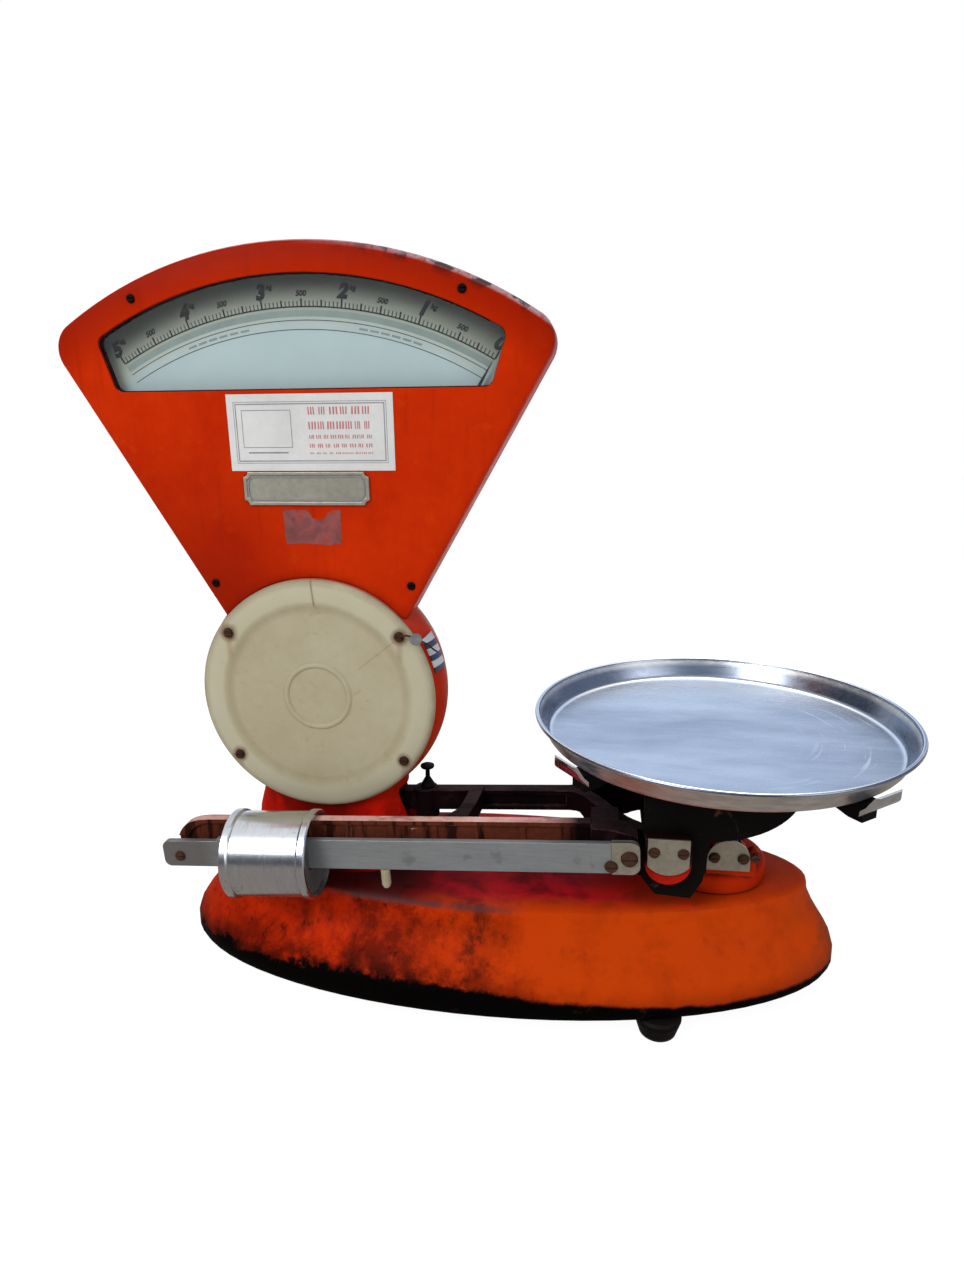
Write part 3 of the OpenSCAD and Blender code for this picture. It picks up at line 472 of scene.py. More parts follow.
def fan_paint():
    """The fan's sheet metal: smoother, darker round the arch, scuffed along the top right rim."""
    paint, dirty, edge = orange_ground("fan_paint", 0.42, 0.8, 10 * MM)
    from_shaft = paint.ring_distance(paint.x, paint.z, DIAL_X, SHAFT_Z)
    arch = paint.remap(from_shaft, FAN_R - 38 * MM, FAN_R - 7 * MM)
    paint.coat((0.29, 0.010, 0.0006), arch, 0.95)
    low_left = paint.product(paint.remap(paint.z, DRUM_Z + 90 * MM, DRUM_Z + 220 * MM, 1.0, 0.0),
                             paint.remap(paint.x, DIAL_X - 65 * MM, DIAL_X + 10 * MM, 1.0, 0.0))
    paint.coat((0.22, 0.007, 0.001), low_left, 0.75)
    # The sheet's top edge: greyed by dust together with a painted highlight along its rounded rim, and black
    # with scuffs on its right half
    cloud = paint.cloud(34.0, 6.0, 0.7)
    rounding = paint.product(paint.remap(from_shaft, FAN_R - 4.5 * MM, FAN_R - 2.5 * MM),
                             paint.window(paint.x, DIAL_X + 50 * MM, DIAL_X + 240 * MM, 50 * MM))
    dust_and_highlight = paint.greater(paint.remap(paint.facing_up(), 0.70, 0.90), rounding)
    dust_and_highlight = paint.product(dust_and_highlight, paint.remap(paint.x, DIAL_X - 100 * MM, DIAL_X + 120 * MM, 0.15, 0.9))
    paint.coat((0.40, 0.28, 0.30), dust_and_highlight, paint.remap(cloud, 0.38, 0.50))
    rim = paint.remap(from_shaft, FAN_R - 10 * MM, FAN_R - 1.5 * MM)
    right = paint.window(paint.x, DIAL_X + 50 * MM, DIAL_X + 220 * MM, 30 * MM)
    paint.coat((0.012, 0.006, 0.005), rim, right, paint.remap(cloud, 0.50, 0.57), 0.9)
    runs = paint.cloud(4.0, 5.0, 0.65, stretch=(30, 30, 2.2))
    paint.coat((0.20, 0.010, 0.003), paint.remap(runs, 0.56, 0.72), 0.35)
    return rubbed(paint, dirty, edge, rough=0.36)


def drum_paint():
    """The drum: a painted highlight on top turns the paint coral, and the neck is deep red, dark with old
    grease and darker still by painted shadow under the cover.
    """
    paint, dirty, edge = orange_ground("drum_paint", 0.5, 0.85, 18 * MM)
    above = paint.remap(paint.z, DRUM_Z + 40 * MM, DRUM_Z + 90 * MM)
    # Painted highlight: the drum's up-facing top lightened to coral
    paint.coat((0.74, 0.115, 0.075), paint.remap(paint.facing_up(), 0.25, 0.85), above, 0.75)
    neck = paint.remap(paint.z, BASE_HIGH.z + 55 * MM, BASE_HIGH.z + 95 * MM, 1.0, 0.0)
    paint.coat((0.46, 0.006, 0.002), neck, 0.9)
    greasy = paint.remap(paint.cloud(22.0, 5.0, 0.65, 0.3), 0.50, 0.66)
    paint.coat((0.060, 0.002, 0.001), neck, greasy, 0.7)
    # Painted shadow on the neck, below the middle of the cover
    shadow_under_cover = paint.window(paint.x, DIAL_X - 34 * MM, DIAL_X + 30 * MM, 14 * MM)
    paint.coat((0.035, 0.001, 0.0006), shadow_under_cover, neck, 0.8)
    return rubbed(paint, dirty, edge)


def foot_band(paint, left, cloud):
    """Bare, blackened iron along the base's foot: deep and ragged at the left, a dark lip at the right."""
    ragged = paint.less(paint.cloud(26.0, 7.0, 0.72), 0.5)
    ragged = paint.product(ragged, paint.remap(left, 0.0, 1.0, 10 * MM, 50 * MM))
    bulge = paint.product(paint.window(paint.x, *BULGE_X, 110 * MM), 14.5 * MM)
    tall = paint.total(8 * MM, paint.product(left, 2 * MM), bulge)
    over = paint.less(paint.less(paint.z, BASE_LOW.z), paint.total(tall, ragged))
    band = paint.remap(over, -0.5 * MM, 3.5 * MM, 1.0, 0.0, smooth=True)
    faint = paint.product(paint.rust(34.0, 0.45)["Rust"], paint.remap(left, 0.0, 0.6, 0.55, 0.03))
    black = paint.mix(faint, (0.0012, 0.0009, 0.0008), (0.045, 0.030, 0.008))
    above = paint.product(paint.remap(over, 0.0, 18 * MM, 0.95, 0.0), paint.remap(cloud, 0.34, 0.52))
    paint.coat((0.016, 0.002, 0.001), above, paint.remap(left, 0.0, 0.5, 0.15, 1.0))
    paint.coat(black, band)


def greasy_deck(paint, cloud):
    """The flat deck: black grease under the drum, dark red in front of it, plain paint at the pan end."""
    deck = paint.product(paint.remap(paint.facing_up(), 0.62, 0.90),
                         paint.remap(paint.z, BASE_HIGH.z - 9 * MM, BASE_HIGH.z - 4 * MM))
    patches = paint.remap(paint.cloud(24.0, 5.0, 0.65, 0.3), 0.40, 0.58)
    grease = paint.mix(patches, (0.56, 0.002, 0.012), (0.20, 0.001, 0.007))
    black_end = paint.remap(paint.total(paint.x, paint.product(cloud, 60 * MM)), *BLACK_GREASE_X, 1.0, 0.0)
    grease = paint.mix(paint.product(black_end, 0.94), grease, (0.012, 0.001, 0.002))
    pan_end = paint.remap(paint.total(paint.x, paint.product(cloud, 80 * MM)), *PLAIN_PAINT_X)
    front_edge = paint.remap(paint.total(paint.y, paint.product(cloud, 20 * MM)), *DECK_EDGE_Y)
    bare_edge = paint.product(paint.remap(black_end, 0.0, 1.0, 0.9, 0.0), paint.less(1.0, front_edge))
    kept = paint.product(deck, paint.less(1.0, bare_edge), paint.less(1.0, paint.product(pan_end, 0.85)))
    paint.coat(grease, kept, 0.95)


def base_paint():
    """The base: smoky grime and specks on the left, drips, a foot darkened by painted shade and grime, a
    black band and a greasy deck.
    """
    paint, dirty, edge = orange_ground("base_paint", 0.62, 0.8, 14 * MM)
    left = paint.remap(paint.x, BASE_LOW.x + 120 * MM, BASE_LOW.x + 380 * MM, 1.0, 0.0)
    height = paint.remap(paint.z, BASE_LOW.z, BASE_HIGH.z)
    paint.coat((0.54, 0.058, 0.002), paint.remap(left, 0.0, 0.8, 0.70, 0.0))
    cloud = paint.cloud(19.0, 7.0, 0.72, 0.15)
    lower = paint.remap(height, 0.10, 0.65, 0.12, 0.0)
    grimy = paint.total(cloud, paint.product(left, 0.105), paint.product(lower, left))
    far_left = paint.remap(paint.x, BASE_LOW.x + 20 * MM, BASE_LOW.x + 90 * MM, 0.25, 1.0)
    paint.coat((0.075, 0.003, 0.0006), paint.remap(grimy, 0.50, 0.68), far_left,
               paint.remap(left, 0.0, 0.6, 0.25, 0.80))
    # Small black specks and short drips, thick on the left and rare on the right
    fine = paint.cloud(85.0, 6.0, 0.75, stretch=(1, 1, 0.40))
    paint.coat((0.012, 0.002, 0.001), paint.remap(fine, 0.56, 0.66), paint.remap(grimy, 0.44, 0.62),
               paint.remap(left, 0.0, 0.6, 0.22, 0.85))
    shifted = paint.total(paint.x, paint.product(paint.cloud(30.0, 4.0, 0.6), 50 * MM))
    paint.coat((0.040, 0.006, 0.003), paint.window(shifted, *DRIPS_X, 10 * MM), paint.remap(fine, 0.44, 0.58),
               paint.remap(height, 0.25, 0.55), 0.65)
    # Painted shade, together with grime: the paint darker towards the foot
    paint.coat((0.14, 0.010, 0.001), paint.remap(height, 0.02, 0.34, 0.55, 0.0, smooth=True))
    right_end = paint.remap(paint.x, BASE_HIGH.x - 60 * MM, BASE_HIGH.x - 5 * MM)
    paint.coat((0.19, 0.036, 0.008), right_end, paint.remap(paint.cloud(26.0, 6.0, 0.7), 0.40, 0.56), 0.70)
    foot_band(paint, left, cloud)
    greasy_deck(paint, cloud)
    # The worn brown line along the deck's front edge, left of the middle
    shoulder = paint.window(paint.z, BASE_HIGH.z - 5 * MM, BASE_HIGH.z - 0.8 * MM, 1.6 * MM)
    paint.coat((0.085, 0.034, 0.032), shoulder, paint.window(paint.x, *SHOULDER_X, 20 * MM),
               paint.remap(cloud, 0.36, 0.48), 0.8)
    return rubbed(paint, dirty, edge, rough=0.46)


def turret_paint():
    """The turret's paint: deeper in colour and dirtier than the base's."""
    paint, dirty, edge = orange_ground("turret_paint", 0.55, 0.95, 16 * MM)
    paint.coat((0.30, 0.020, 0.001), 0.25)
    return rubbed(paint, dirty, edge)


def screw_stains(paint, tone):
    """Rusty rings round the cover's four screws, each with a short run below."""
    for side in (-1, 1):
        for level in (-1, 1):
            screw_x, screw_z = DIAL_X + side * COVER_SCREW_U, DRUM_Z + level * COVER_SCREW_V
            from_screw = paint.ring_distance(paint.x, paint.z, screw_x, screw_z)
            uneven = paint.total(from_screw, paint.product(tone, 4 * MM))
            paint.coat((0.15, 0.060, 0.025), paint.remap(uneven, 5.5 * MM, 10.5 * MM, 1.0, 0.0), 0.85)
            run = paint.product(paint.window(paint.x, screw_x - 2.5 * MM, screw_x + 2.5 * MM, 1.5 * MM),
                                paint.window(paint.z, screw_z - 22 * MM, screw_z - 2 * MM, 4 * MM))
            paint.coat((0.24, 0.13, 0.06), run, 0.35)


def cover_paint(name):
    """Cream cover: paler border, brown groove, rusty rings round the screws, dirt and fine specks."""
    paint = Finish(name)
    mottle = paint.mottle(16.0)
    paint.ground(mottle["Tone"], (0.37, 0.322, 0.208), (0.43, 0.388, 0.268))
    paint.coat((0.30, 0.235, 0.125), mottle["Spots"], 0.45)
    radius = paint.ring_distance(paint.x, paint.z, DIAL_X, DRUM_Z)
    paint.coat((0.48, 0.455, 0.330), paint.remap(radius, *BORDER_R), 0.55)
    soiled = paint.remap(paint.cloud(26.0, 5.0, 0.65), 0.36, 0.60, 0.45, 1.0)
    paint.coat((0.20, 0.145, 0.075), paint.window(radius, *GROOVE_R, 1.6 * MM), soiled, 0.22)
    paint.coat((0.20, 0.145, 0.085), paint.remap(radius, DRUM_R - 7 * MM, DRUM_R - 1 * MM), soiled, 0.60)
    screw_stains(paint, mottle["Tone"])
    if name == "cover_front":
        top_run = paint.near_line(paint.x, paint.z, (DIAL_X + 3 * MM, DRUM_Z + 82 * MM),
                                  (DIAL_X + 1 * MM, DRUM_Z + DRUM_R), 1.3 * MM)
        paint.coat((0.13, 0.055, 0.030), top_run, 0.7)
        scratch = paint.near_line(paint.x, paint.z, (DIAL_X + 38 * MM, DRUM_Z + 26 * MM),
                                  (DIAL_X + 72 * MM, DRUM_Z + 53 * MM), 0.7 * MM)
        paint.coat((0.16, 0.11, 0.07), scratch, 0.45)
        lower = paint.remap(paint.z, DRUM_Z - 75 * MM, DRUM_Z - 20 * MM, 1.0, 0.0)
        paint.coat((0.30, 0.235, 0.125), lower, paint.remap(radius, 88 * MM, 82 * MM), soiled, 0.25)
    paint.coat((0.09, 0.050, 0.025), paint.creases(7 * MM, 0.85))
    fine = paint.cloud(140.0, 4.0, 0.75, stretch=(1.0, 1.0, 3.0))
    paint.coat((0.24, 0.19, 0.115), paint.remap(fine, 0.62, 0.75), 0.35)
    edge = paint.edges(1.2 * MM, 0.35)
    paint.coat((0.20, 0.13, 0.075), edge["Worn"], 0.8)
    paint.plain(Specular_IOR_Level=0.15)
    paint.relief(paint.grain(210.0, 0.5), 0.5 * MM, 0.28, edge["Normal"])
    return paint.done(paint.remap(mottle["Tone"], 0, 1, 0.42, 0.62))


def iron(name, colour, rust, rough=0.55, dust=0.0):
    """Black painted or bare cast iron with rust showing through, and maybe dust on its tops."""
    skin = Finish(name)
    tone = skin.mottle(30.0)["Tone"]
    skin.ground(tone, tuple(0.55 * c for c in colour), colour)
    rusted = skin.rust(46.0, rust)
    skin.coat(rusted["Colour"], rusted["Rust"], 0.75)
    edge = skin.edges(1.0 * MM, 0.6)
    skin.coat(tuple(4.0 * c for c in colour), edge["Worn"], 0.8)
    if dust:
        lying = skin.remap(skin.facing_up(), 0.5, 0.95)
        skin.coat((0.10, 0.08, 0.07), lying, skin.remap(tone, 0.2, 0.8, 0.4, 1.0), dust)
    skin.plain(Specular_IOR_Level=0.08)
    skin.relief(skin.grain(260.0, 0.3), 0.8 * MM, 0.45, edge["Normal"])
    return skin.done(skin.remap(tone, 0, 1, rough - 0.1, rough + 0.15))


def lever_finish():
    """The lever: dark purple-brown iron with dull tops, and a brown front rail with a pink top; the tops are
    lighter from wear and from painted light.
    """
    skin = Finish("lever_finish")
    tone = skin.mottle(26.0)["Tone"]
    skin.ground(tone, (0.003, 0.0010, 0.0015), (0.009, 0.0030, 0.0045))
    skin.coat((0.030, 0.012, 0.010), skin.rust(38.0, 0.5)["Rust"], 0.35)
    rail = skin.product(skin.remap(skin.y, BAR_HIGH.y + 28 * MM, BAR_HIGH.y + 22 * MM),
                        skin.remap(skin.x, *RAIL_END_X, 1.0, 0.0))
    rail_colour = skin.mix(tone, (0.070, 0.016, 0.008), (0.150, 0.038, 0.020))
    streaks = skin.remap(skin.cloud(9.0, 4.0, 0.7, stretch=(9, 9, 1.2)), 0.52, 0.60)
    rail_colour = skin.mix(skin.product(streaks, 0.85), rail_colour, (0.012, 0.005, 0.004))
    skin.coat(rail_colour, rail, 0.95)
    # Up-facing tops lighter: wear, together with painted light
    flat_top = skin.remap(skin.facing_up(), 0.7, 0.97)
    worn_and_lit_top = skin.mix(tone, (0.012, 0.006, 0.007), (0.050, 0.028, 0.030))
    worn_and_lit_rail_top = skin.mix(tone, (0.62, 0.28, 0.23), (0.82, 0.58, 0.53))
    scraped = skin.remap(skin.cloud(60.0, 5.0, 0.7, stretch=(0.4, 1, 1)), 0.36, 0.50, 0.35, 1.0)
    skin.coat(skin.mix(rail, worn_and_lit_top, worn_and_lit_rail_top), flat_top, scraped, 0.85)
    edge = skin.edges(1.3 * MM, 0.6)
    skin.coat((0.22, 0.110, 0.085), edge["Worn"], skin.remap(rail, 0, 1, 0.35, 0.85))
    skin.plain(Specular_IOR_Level=0.02)
    skin.relief(skin.grain(240.0, 0.3), 0.8 * MM, 0.45, edge["Normal"])
    return skin.done(skin.remap(tone, 0, 1, 0.50, 0.70))


def red_casting():
    """The carrier's bearing blocks: red at the foot, black with grease above."""
    paint = Finish("red_casting")
    paint.ground(paint.mottle(30.0)["Tone"], (0.24, 0.006, 0.003), (0.42, 0.012, 0.004))
    paint.coat((0.05, 0.012, 0.008), paint.rust(42.0, 0.4)["Rust"], 0.5)
    paint.coat((0.005, 0.002, 0.002), paint.remap(paint.z, BLOCK_FOOT + 6 * MM, BLOCK_FOOT + 11 * MM), 0.97)
    dirty = paint.creases(10 * MM, 0.9)
    paint.coat(GRIME, dirty)
    return rubbed(paint, dirty, paint.edges(1.0 * MM, 0.6), rough=0.5)


def metal(name, colour, rough, stretch, rust=0.0, lines=0.25, dirt=0.0):
    """Bright metal with fine lines along one direction, dull patches, a little rust and maybe dirt."""
    skin = Finish(name)
    brushed = skin.brushed(60.0, stretch)
    mottle = skin.mottle(18.0)
    darker = tuple(0.68 * c for c in colour)
    skin.ground(skin.product(brushed, 0.9), darker, colour)
    skin.coat(darker, mottle["Spots"], 0.25)
    rusted = skin.rust(55.0, rust)
    dull = rusted["Rust"]
    skin.coat(skin.mix(0.5, rusted["Colour"], (0.10, 0.055, 0.035)), dull, 0.8)
    if dirt:
        dirty = skin.creases(3.5 * MM, dirt)
        skin.coat((0.020, 0.009, 0.005), dirty)
        dull = skin.greater(dull, dirty)
    edge = skin.edges(0.7 * MM, 0.6)
    skin.feed(skin.shader.inputs["Metallic"], skin.less(1.0, skin.product(dull, 0.8)))
    even = skin.total(skin.product(brushed, 0.5), skin.product(mottle["Tone"], 0.5))
    gloss = skin.remap(even, 0, 1, rough + lines * 0.3, rough - lines * 0.12)
    skin.relief(brushed, 0.2 * MM, 0.2, edge["Normal"])
    return skin.done(skin.math("ADD", gloss, skin.product(dull, 0.35), clamp=True))


def bar_finish():
    """The poise bar: flat bluish grey steel with small dark stains, and a brown tang at its left end."""
    skin = Finish("bar_finish")
    brushed = skin.brushed(150.0, (0.12, 1, 1))
    skin.ground(brushed, (0.265, 0.285, 0.295), (0.34, 0.36, 0.375))
    skin.coat((0.23, 0.225, 0.205), skin.mottle(20.0)["Tone"], 0.30)
    skin.coat((0.135, 0.112, 0.100), skin.remap(skin.x, BAR_LOW.x + 55 * MM, BAR_LOW.x + 35 * MM), 0.65)
    ragged = skin.product(skin.less(skin.cloud(160.0, 3.0, 0.6), 0.5), 22 * MM)
    for stain_x, stain_z, size in BAR_STAINS:
        near = skin.total(skin.ring_distance(skin.x, skin.z, stain_x, stain_z), ragged)
        skin.coat((0.10, 0.095, 0.090), skin.remap(near, size * 0.3, size * 1.4, 0.35, 0.0))
    rusted = skin.rust(62.0, 0.34)
    skin.coat(skin.mix(0.6, rusted["Colour"], (0.05, 0.032, 0.028)), rusted["Rust"], 0.9)
    edge = skin.edges(0.7 * MM, 0.7)
    skin.coat((0.62, 0.62, 0.60), edge["Worn"], 0.5)
    skin.feed(skin.shader.inputs["Metallic"], skin.product(skin.less(1.0, rusted["Rust"]), 0.62))
    skin.plain(Specular_IOR_Level=0.2)
    skin.relief(brushed, 0.2 * MM, 0.10, edge["Normal"])
    return skin.done(skin.remap(brushed, 0, 1, 0.52, 0.40))


def pan_finish():
    """The pan: stainless steel, scrubbed along one direction inside, scratched and dull outside, with painted
    reflections of a blue-grey room inside.
    """
    skin = Finish("pan_finish")
    brushed = skin.brushed(70.0, (0.10, 1.0, 1.0))
    # Painted reflection: a bluish ground, lighter patches and a lighter back stand in for the room mirrored
    # in the floor
    skin.ground(brushed, (0.34, 0.385, 0.47), (0.46, 0.51, 0.60))
    cloud = skin.cloud(14.0, 4.0, 0.6, stretch=(0.35, 1.0, 1.0))
    skin.coat((0.66, 0.72, 0.80), skin.remap(cloud, 0.42, 0.66, 0.0, 0.75))
    skin.coat((0.86, 0.90, 0.95), skin.remap(skin.y, 45 * MM, 105 * MM, 0.0, 0.55))
    radius = skin.ring_distance(skin.x, skin.y, PAN_X, 0.0)
    # Arcs scrubbed round the right half of the floor, a wall darkened by painted reflection, and a painted
    # highlight line at its foot
    turn = skin.math("ARCTAN2", skin.y, skin.less(skin.x, PAN_X))
    polar = skin.node("CombineXYZ", X=skin.product(radius, 260.0), Y=skin.product(turn, 1.3)).outputs[0]
    arcs = skin.remap(skin.noise(polar, 1.0, 3.0, 0.6), 0.60, 0.68)
    skin.coat((0.90, 0.93, 0.96), arcs, skin.remap(radius, 60 * MM, 100 * MM),
              skin.remap(skin.x, PAN_X, PAN_X + 70 * MM), 0.55)
    up = skin.facing_up()
    past_floor = skin.remap(radius, *PAN_BEND_R)
    skin.coat((0.13, 0.16, 0.22), skin.window(up, 0.10, 0.80, 0.06), past_floor, 0.78)
    skin.coat((0.93, 0.95, 0.98), skin.window(up, 0.80, 0.96, 0.03), past_floor, 0.7)
    # The rim's outer side and the underside
    rim = skin.product(skin.remap(radius, PAN_R - 6.5 * MM, PAN_R - 4 * MM),
                       skin.remap(skin.z, PAN_TOP - 1 * MM, PAN_TOP - 4 * MM))
    outside = skin.greater(rim, skin.remap(up, 0.05, -0.2))
    worn = skin.cloud(40.0, 5.0, 0.7, stretch=(1, 1, 4.0))
    dull = skin.mix(skin.remap(worn, 0.35, 0.65), (0.55, 0.53, 0.50), (0.86, 0.84, 0.82))
    skin.coat(dull, outside, 0.85)
    skin.plain(Metallic=1.0)
    skin.relief(skin.total(skin.product(brushed, 0.10), skin.cloud(11.0, 2.0, 0.5)), 1.2 * MM, 0.22)
    gloss = skin.remap(brushed, 0, 1, 0.34, 0.22)
    return skin.done(skin.math("ADD", gloss, skin.product(outside, skin.remap(worn, 0.3, 0.7, 0.05, 0.25)),
                               clamp=True))


def chrome_finish():
    """The poise's shell: plated steel, bright, faintly lined round its length, dirty at the rims."""
    skin = Finish("chrome_finish")
    brushed = skin.brushed(60.0, (3.0, 0.3, 0.3))
    skin.ground(brushed, (0.54, 0.57, 0.61), (0.68, 0.71, 0.75))
    skin.coat((0.22, 0.19, 0.17), skin.remap(skin.cloud(70.0, 5.0, 0.7), 0.60, 0.70), 0.5)
    skin.coat((0.10, 0.09, 0.08), skin.creases(4 * MM, 0.7))
    skin.plain(Metallic=1.0)
    skin.relief(skin.total(skin.cloud(26.0, 2.0, 0.5), skin.product(brushed, 0.06)), 1.0 * MM, 0.10)
    return skin.done(skin.remap(brushed, 0, 1, 0.29, 0.21))


def glass_finish():
    """Window glass that lets lamps through to the dial, with dust on it."""
    glass = Finish("glass_finish")
    glass.colour = (0.93, 0.97, 0.96)
    glass.plain(Transmission_Weight=1.0, IOR=1.45)
    clear = glass.node("BsdfTransparent", Color=(0.90, 0.93, 0.92))
    path = glass.node("LightPath").outputs
    lamp_side = glass.greater(path["Is Shadow Ray"], path["Is Diffuse Ray"])
    glass.blend_shaders(lamp_side, glass.shader, clear, glass.out)
    return glass.done(glass.remap(glass.cloud(20.0, 5.0, 0.65), 0.45, 0.75, 0.0, 0.06))


def matt(name, low, high, scale=20.0, rough=0.7, fibre=400.0, relief=0.15):
    """A plain matt stuff that is never one colour: two tones by mottle, and a fine grain."""
    stuff = Finish(name)
    tone = stuff.mottle(scale)["Tone"]
    stuff.ground(tone, low, high)
    stuff.plain(Specular_IOR_Level=0.08)
    stuff.relief(stuff.grain(fibre, 0.2), 0.3 * MM, relief)
    return stuff.done(stuff.remap(tone, 0, 1, rough - 0.08, rough + 0.08))


def dial_finish():
    """Dial enamel: bluish white below the scale ring, greyer towards the rim, and darkened there by painted
    shadow from the window's edge.
    """
    enamel = Finish("dial_finish")
    radius = enamel.ring_distance(enamel.x, enamel.z, DIAL_X, SHAFT_Z)
    tone = enamel.mottle(9.0)["Tone"]
    low = enamel.mix(tone, (0.475, 0.545, 0.575), (0.535, 0.605, 0.635))
    rim = enamel.mix(tone, (0.44, 0.44, 0.38), (0.52, 0.52, 0.45))
    enamel.ground(enamel.remap(radius, THIN_LINES_R[1] - 1 * MM, BAND_R[1]), low, rim)
    # Painted shadow: the dial darkens towards the rim, under the window's edge
    painted_rim_shadow = enamel.remap(radius, THIN_LINES_R[0] - 1 * MM, TICKS_R + 21 * MM, 0.0, 0.93, smooth=True)
    enamel.coat((0.028, 0.026, 0.022), painted_rim_shadow)
    enamel.plain(Specular_IOR_Level=0.1)
    return enamel.done(enamel.remap(tone, 0, 1, 0.38, 0.52))


def tag_finish():
    """The seal's tag: dark blue bands on white, round its length."""
    plastic = Finish("tag_finish")
    banded = plastic.math("FRACT", plastic.product(plastic.remap(plastic.z, TAG_LOW.z, TAG_HIGH.z), 3.0))
    tone = plastic.mottle(60.0)["Tone"]
    plastic.ground(tone, (0.42, 0.44, 0.47), (0.62, 0.64, 0.67))
    blue = plastic.mix(tone, (0.008, 0.014, 0.045), (0.020, 0.035, 0.09))
    plastic.coat(blue, plastic.remap(banded, 0.44, 0.48, 1.0, 0.0))
    plastic.plain(Specular_IOR_Level=0.4)
    return plastic.done(plastic.remap(tone, 0, 1, 0.35, 0.55))


def sticker_finish():
    """What is left of a sticker: thin greyish pink paper that the paint shows through."""
    paper = Finish("sticker_finish")
    blotch = paper.cloud(55.0, 5.0, 0.65, 0.8)
    paper.ground(paper.remap(blotch, 0.38, 0.60), (0.15, 0.045, 0.045), (0.25, 0.066, 0.062))
    paper.coat((0.10, 0.035, 0.045), paper.remap(paper.cloud(120.0, 4.0, 0.6), 0.58, 0.66), 0.7)
    paper.coat((0.36, 0.030, 0.010), paper.remap(paper.cloud(85.0, 5.0, 0.7), 0.55, 0.66), 0.7)
    paper.plain(Specular_IOR_Level=0.2)
    return paper.done(paper.remap(blotch, 0, 1, 0.6, 0.85))


FINISHES = {
    "cream_paint": lambda: cover_paint("cover_front"),
    "black_iron": lambda: iron("black_casting", (0.0045, 0.0030, 0.0028), 0.40, dust=0.10),
    "lever_iron": lever_finish,
    "red_paint": red_casting,
    "bar_steel": bar_finish,
    "hard_steel": lambda: metal("knife_steel", (0.50, 0.50, 0.50), 0.28, (0.2, 1, 1), rust=0.15),
    "light_plate": lambda: metal("plate_steel", (0.66, 0.635, 0.53), 0.48, (0.8, 1, 1),
                                 rust=0.40, lines=0.1, dirt=0.9),
    "rusty_steel": lambda: iron("rusty_finish", (0.060, 0.028, 0.016), 0.5, rough=0.5),
    "chrome": chrome_finish,
    "pan_steel": pan_finish,
    "grey_iron": lambda: iron("grey_casting", (0.10, 0.095, 0.090), 0.4),
    "brass": lambda: metal("brass_finish", (0.62, 0.43, 0.17), 0.35, (1, 1, 1), rust=0.1),
    "glass": glass_finish,
    "rubber": lambda: matt("rubber_seal", (0.012, 0.011, 0.010), (0.030, 0.028, 0.026), 40.0, 0.75,
                           fibre=500.0, relief=0.3),
    "dial_enamel": dial_finish,
    "pointer_black": lambda: matt("pointer_paint", (0.006, 0.006, 0.007), (0.016, 0.016, 0.018), 60.0, 0.45),
    "label_paper": lambda: matt("label_paper", (0.53, 0.53, 0.515), (0.64, 0.64, 0.625), 18.0, 0.6,
                                fibre=600.0, relief=0.1),
    "lead": lambda: matt("lead_metal", (0.10, 0.10, 0.11), (0.20, 0.20, 0.21), 80.0, 0.5,
                         fibre=500.0, relief=0.5),
    "tag_plastic": tag_finish,
}


def finish_nodes():
    """Gives every CAD node its finish: its own, or the one of its material slot in the record."""
    fan = fan_paint()
    by_node = {
        "base_casting": base_paint(),
        "drum_housing": drum_paint(),
        "fulcrum_turret": turret_paint(),
        "drum_rear_cover": cover_paint("cover_rear"),
        "fan_housing": fan,
        "fan_front_panel": fan,
    }
    shared = {}
    for name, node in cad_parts.items():
        slot = node.data.materials[0].name
        if name not in by_node and slot not in shared:
            shared[slot] = FINISHES[slot]()
        chosen = by_node.get(name) or shared[slot]
        node.data.materials.clear()
        node.data.materials.append(chosen)


def even_shading():
    """A geometry node tree that joins a CAD model's faces and keeps only its real edges sharp."""
    tree = bpy.data.node_groups.new("even_shading", "GeometryNodeTree")
    tree.interface.new_socket(name="Geometry", in_out="INPUT", socket_type="NodeSocketGeometry")
    tree.interface.new_socket(name="Geometry", in_out="OUTPUT", socket_type="NodeSocketGeometry")
    start, end = tree.nodes.new("NodeGroupInput"), tree.nodes.new("NodeGroupOutput")
    joined = tree.nodes.new("GeometryNodeMergeByDistance")
    joined.inputs["Distance"].default_value = 0.01 * MM
    bare = tree.nodes.new("GeometryNodeRemoveAttribute")
    bare.inputs["Name"].default_value = "custom_normal"
    smooth = tree.nodes.new("GeometryNodeSetShadeSmooth")
    sharp = tree.nodes.new("GeometryNodeSetShadeSmooth")
    sharp.domain = "EDGE"
    sharp.inputs["Shade Smooth"].default_value = False
    angle = tree.nodes.new("GeometryNodeInputMeshEdgeAngle")
    steep = tree.nodes.new("ShaderNodeMath")
    steep.operation = "GREATER_THAN"
    steep.inputs[1].default_value = math.radians(32)
    link = tree.links.new
    link(start.outputs[0], joined.inputs["Geometry"])
    link(joined.outputs[0], bare.inputs["Geometry"])
    link(bare.outputs[0], smooth.inputs["Geometry"])
    link(smooth.outputs[0], sharp.inputs["Geometry"])
    link(angle.outputs[0], steep.inputs[0])
    link(steep.outputs[0], sharp.inputs["Selection"])
    link(sharp.outputs[0], end.inputs[0])
    return tree


def smooth_nodes():
    """Round forms of the CAD nodes shade round, and their edges stay sharp."""
    tree = even_shading()
    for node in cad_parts.values():
        shade = node.modifiers.new("even_shading", "NODES")
        shade.node_group = tree


# Printed and drawn pieces


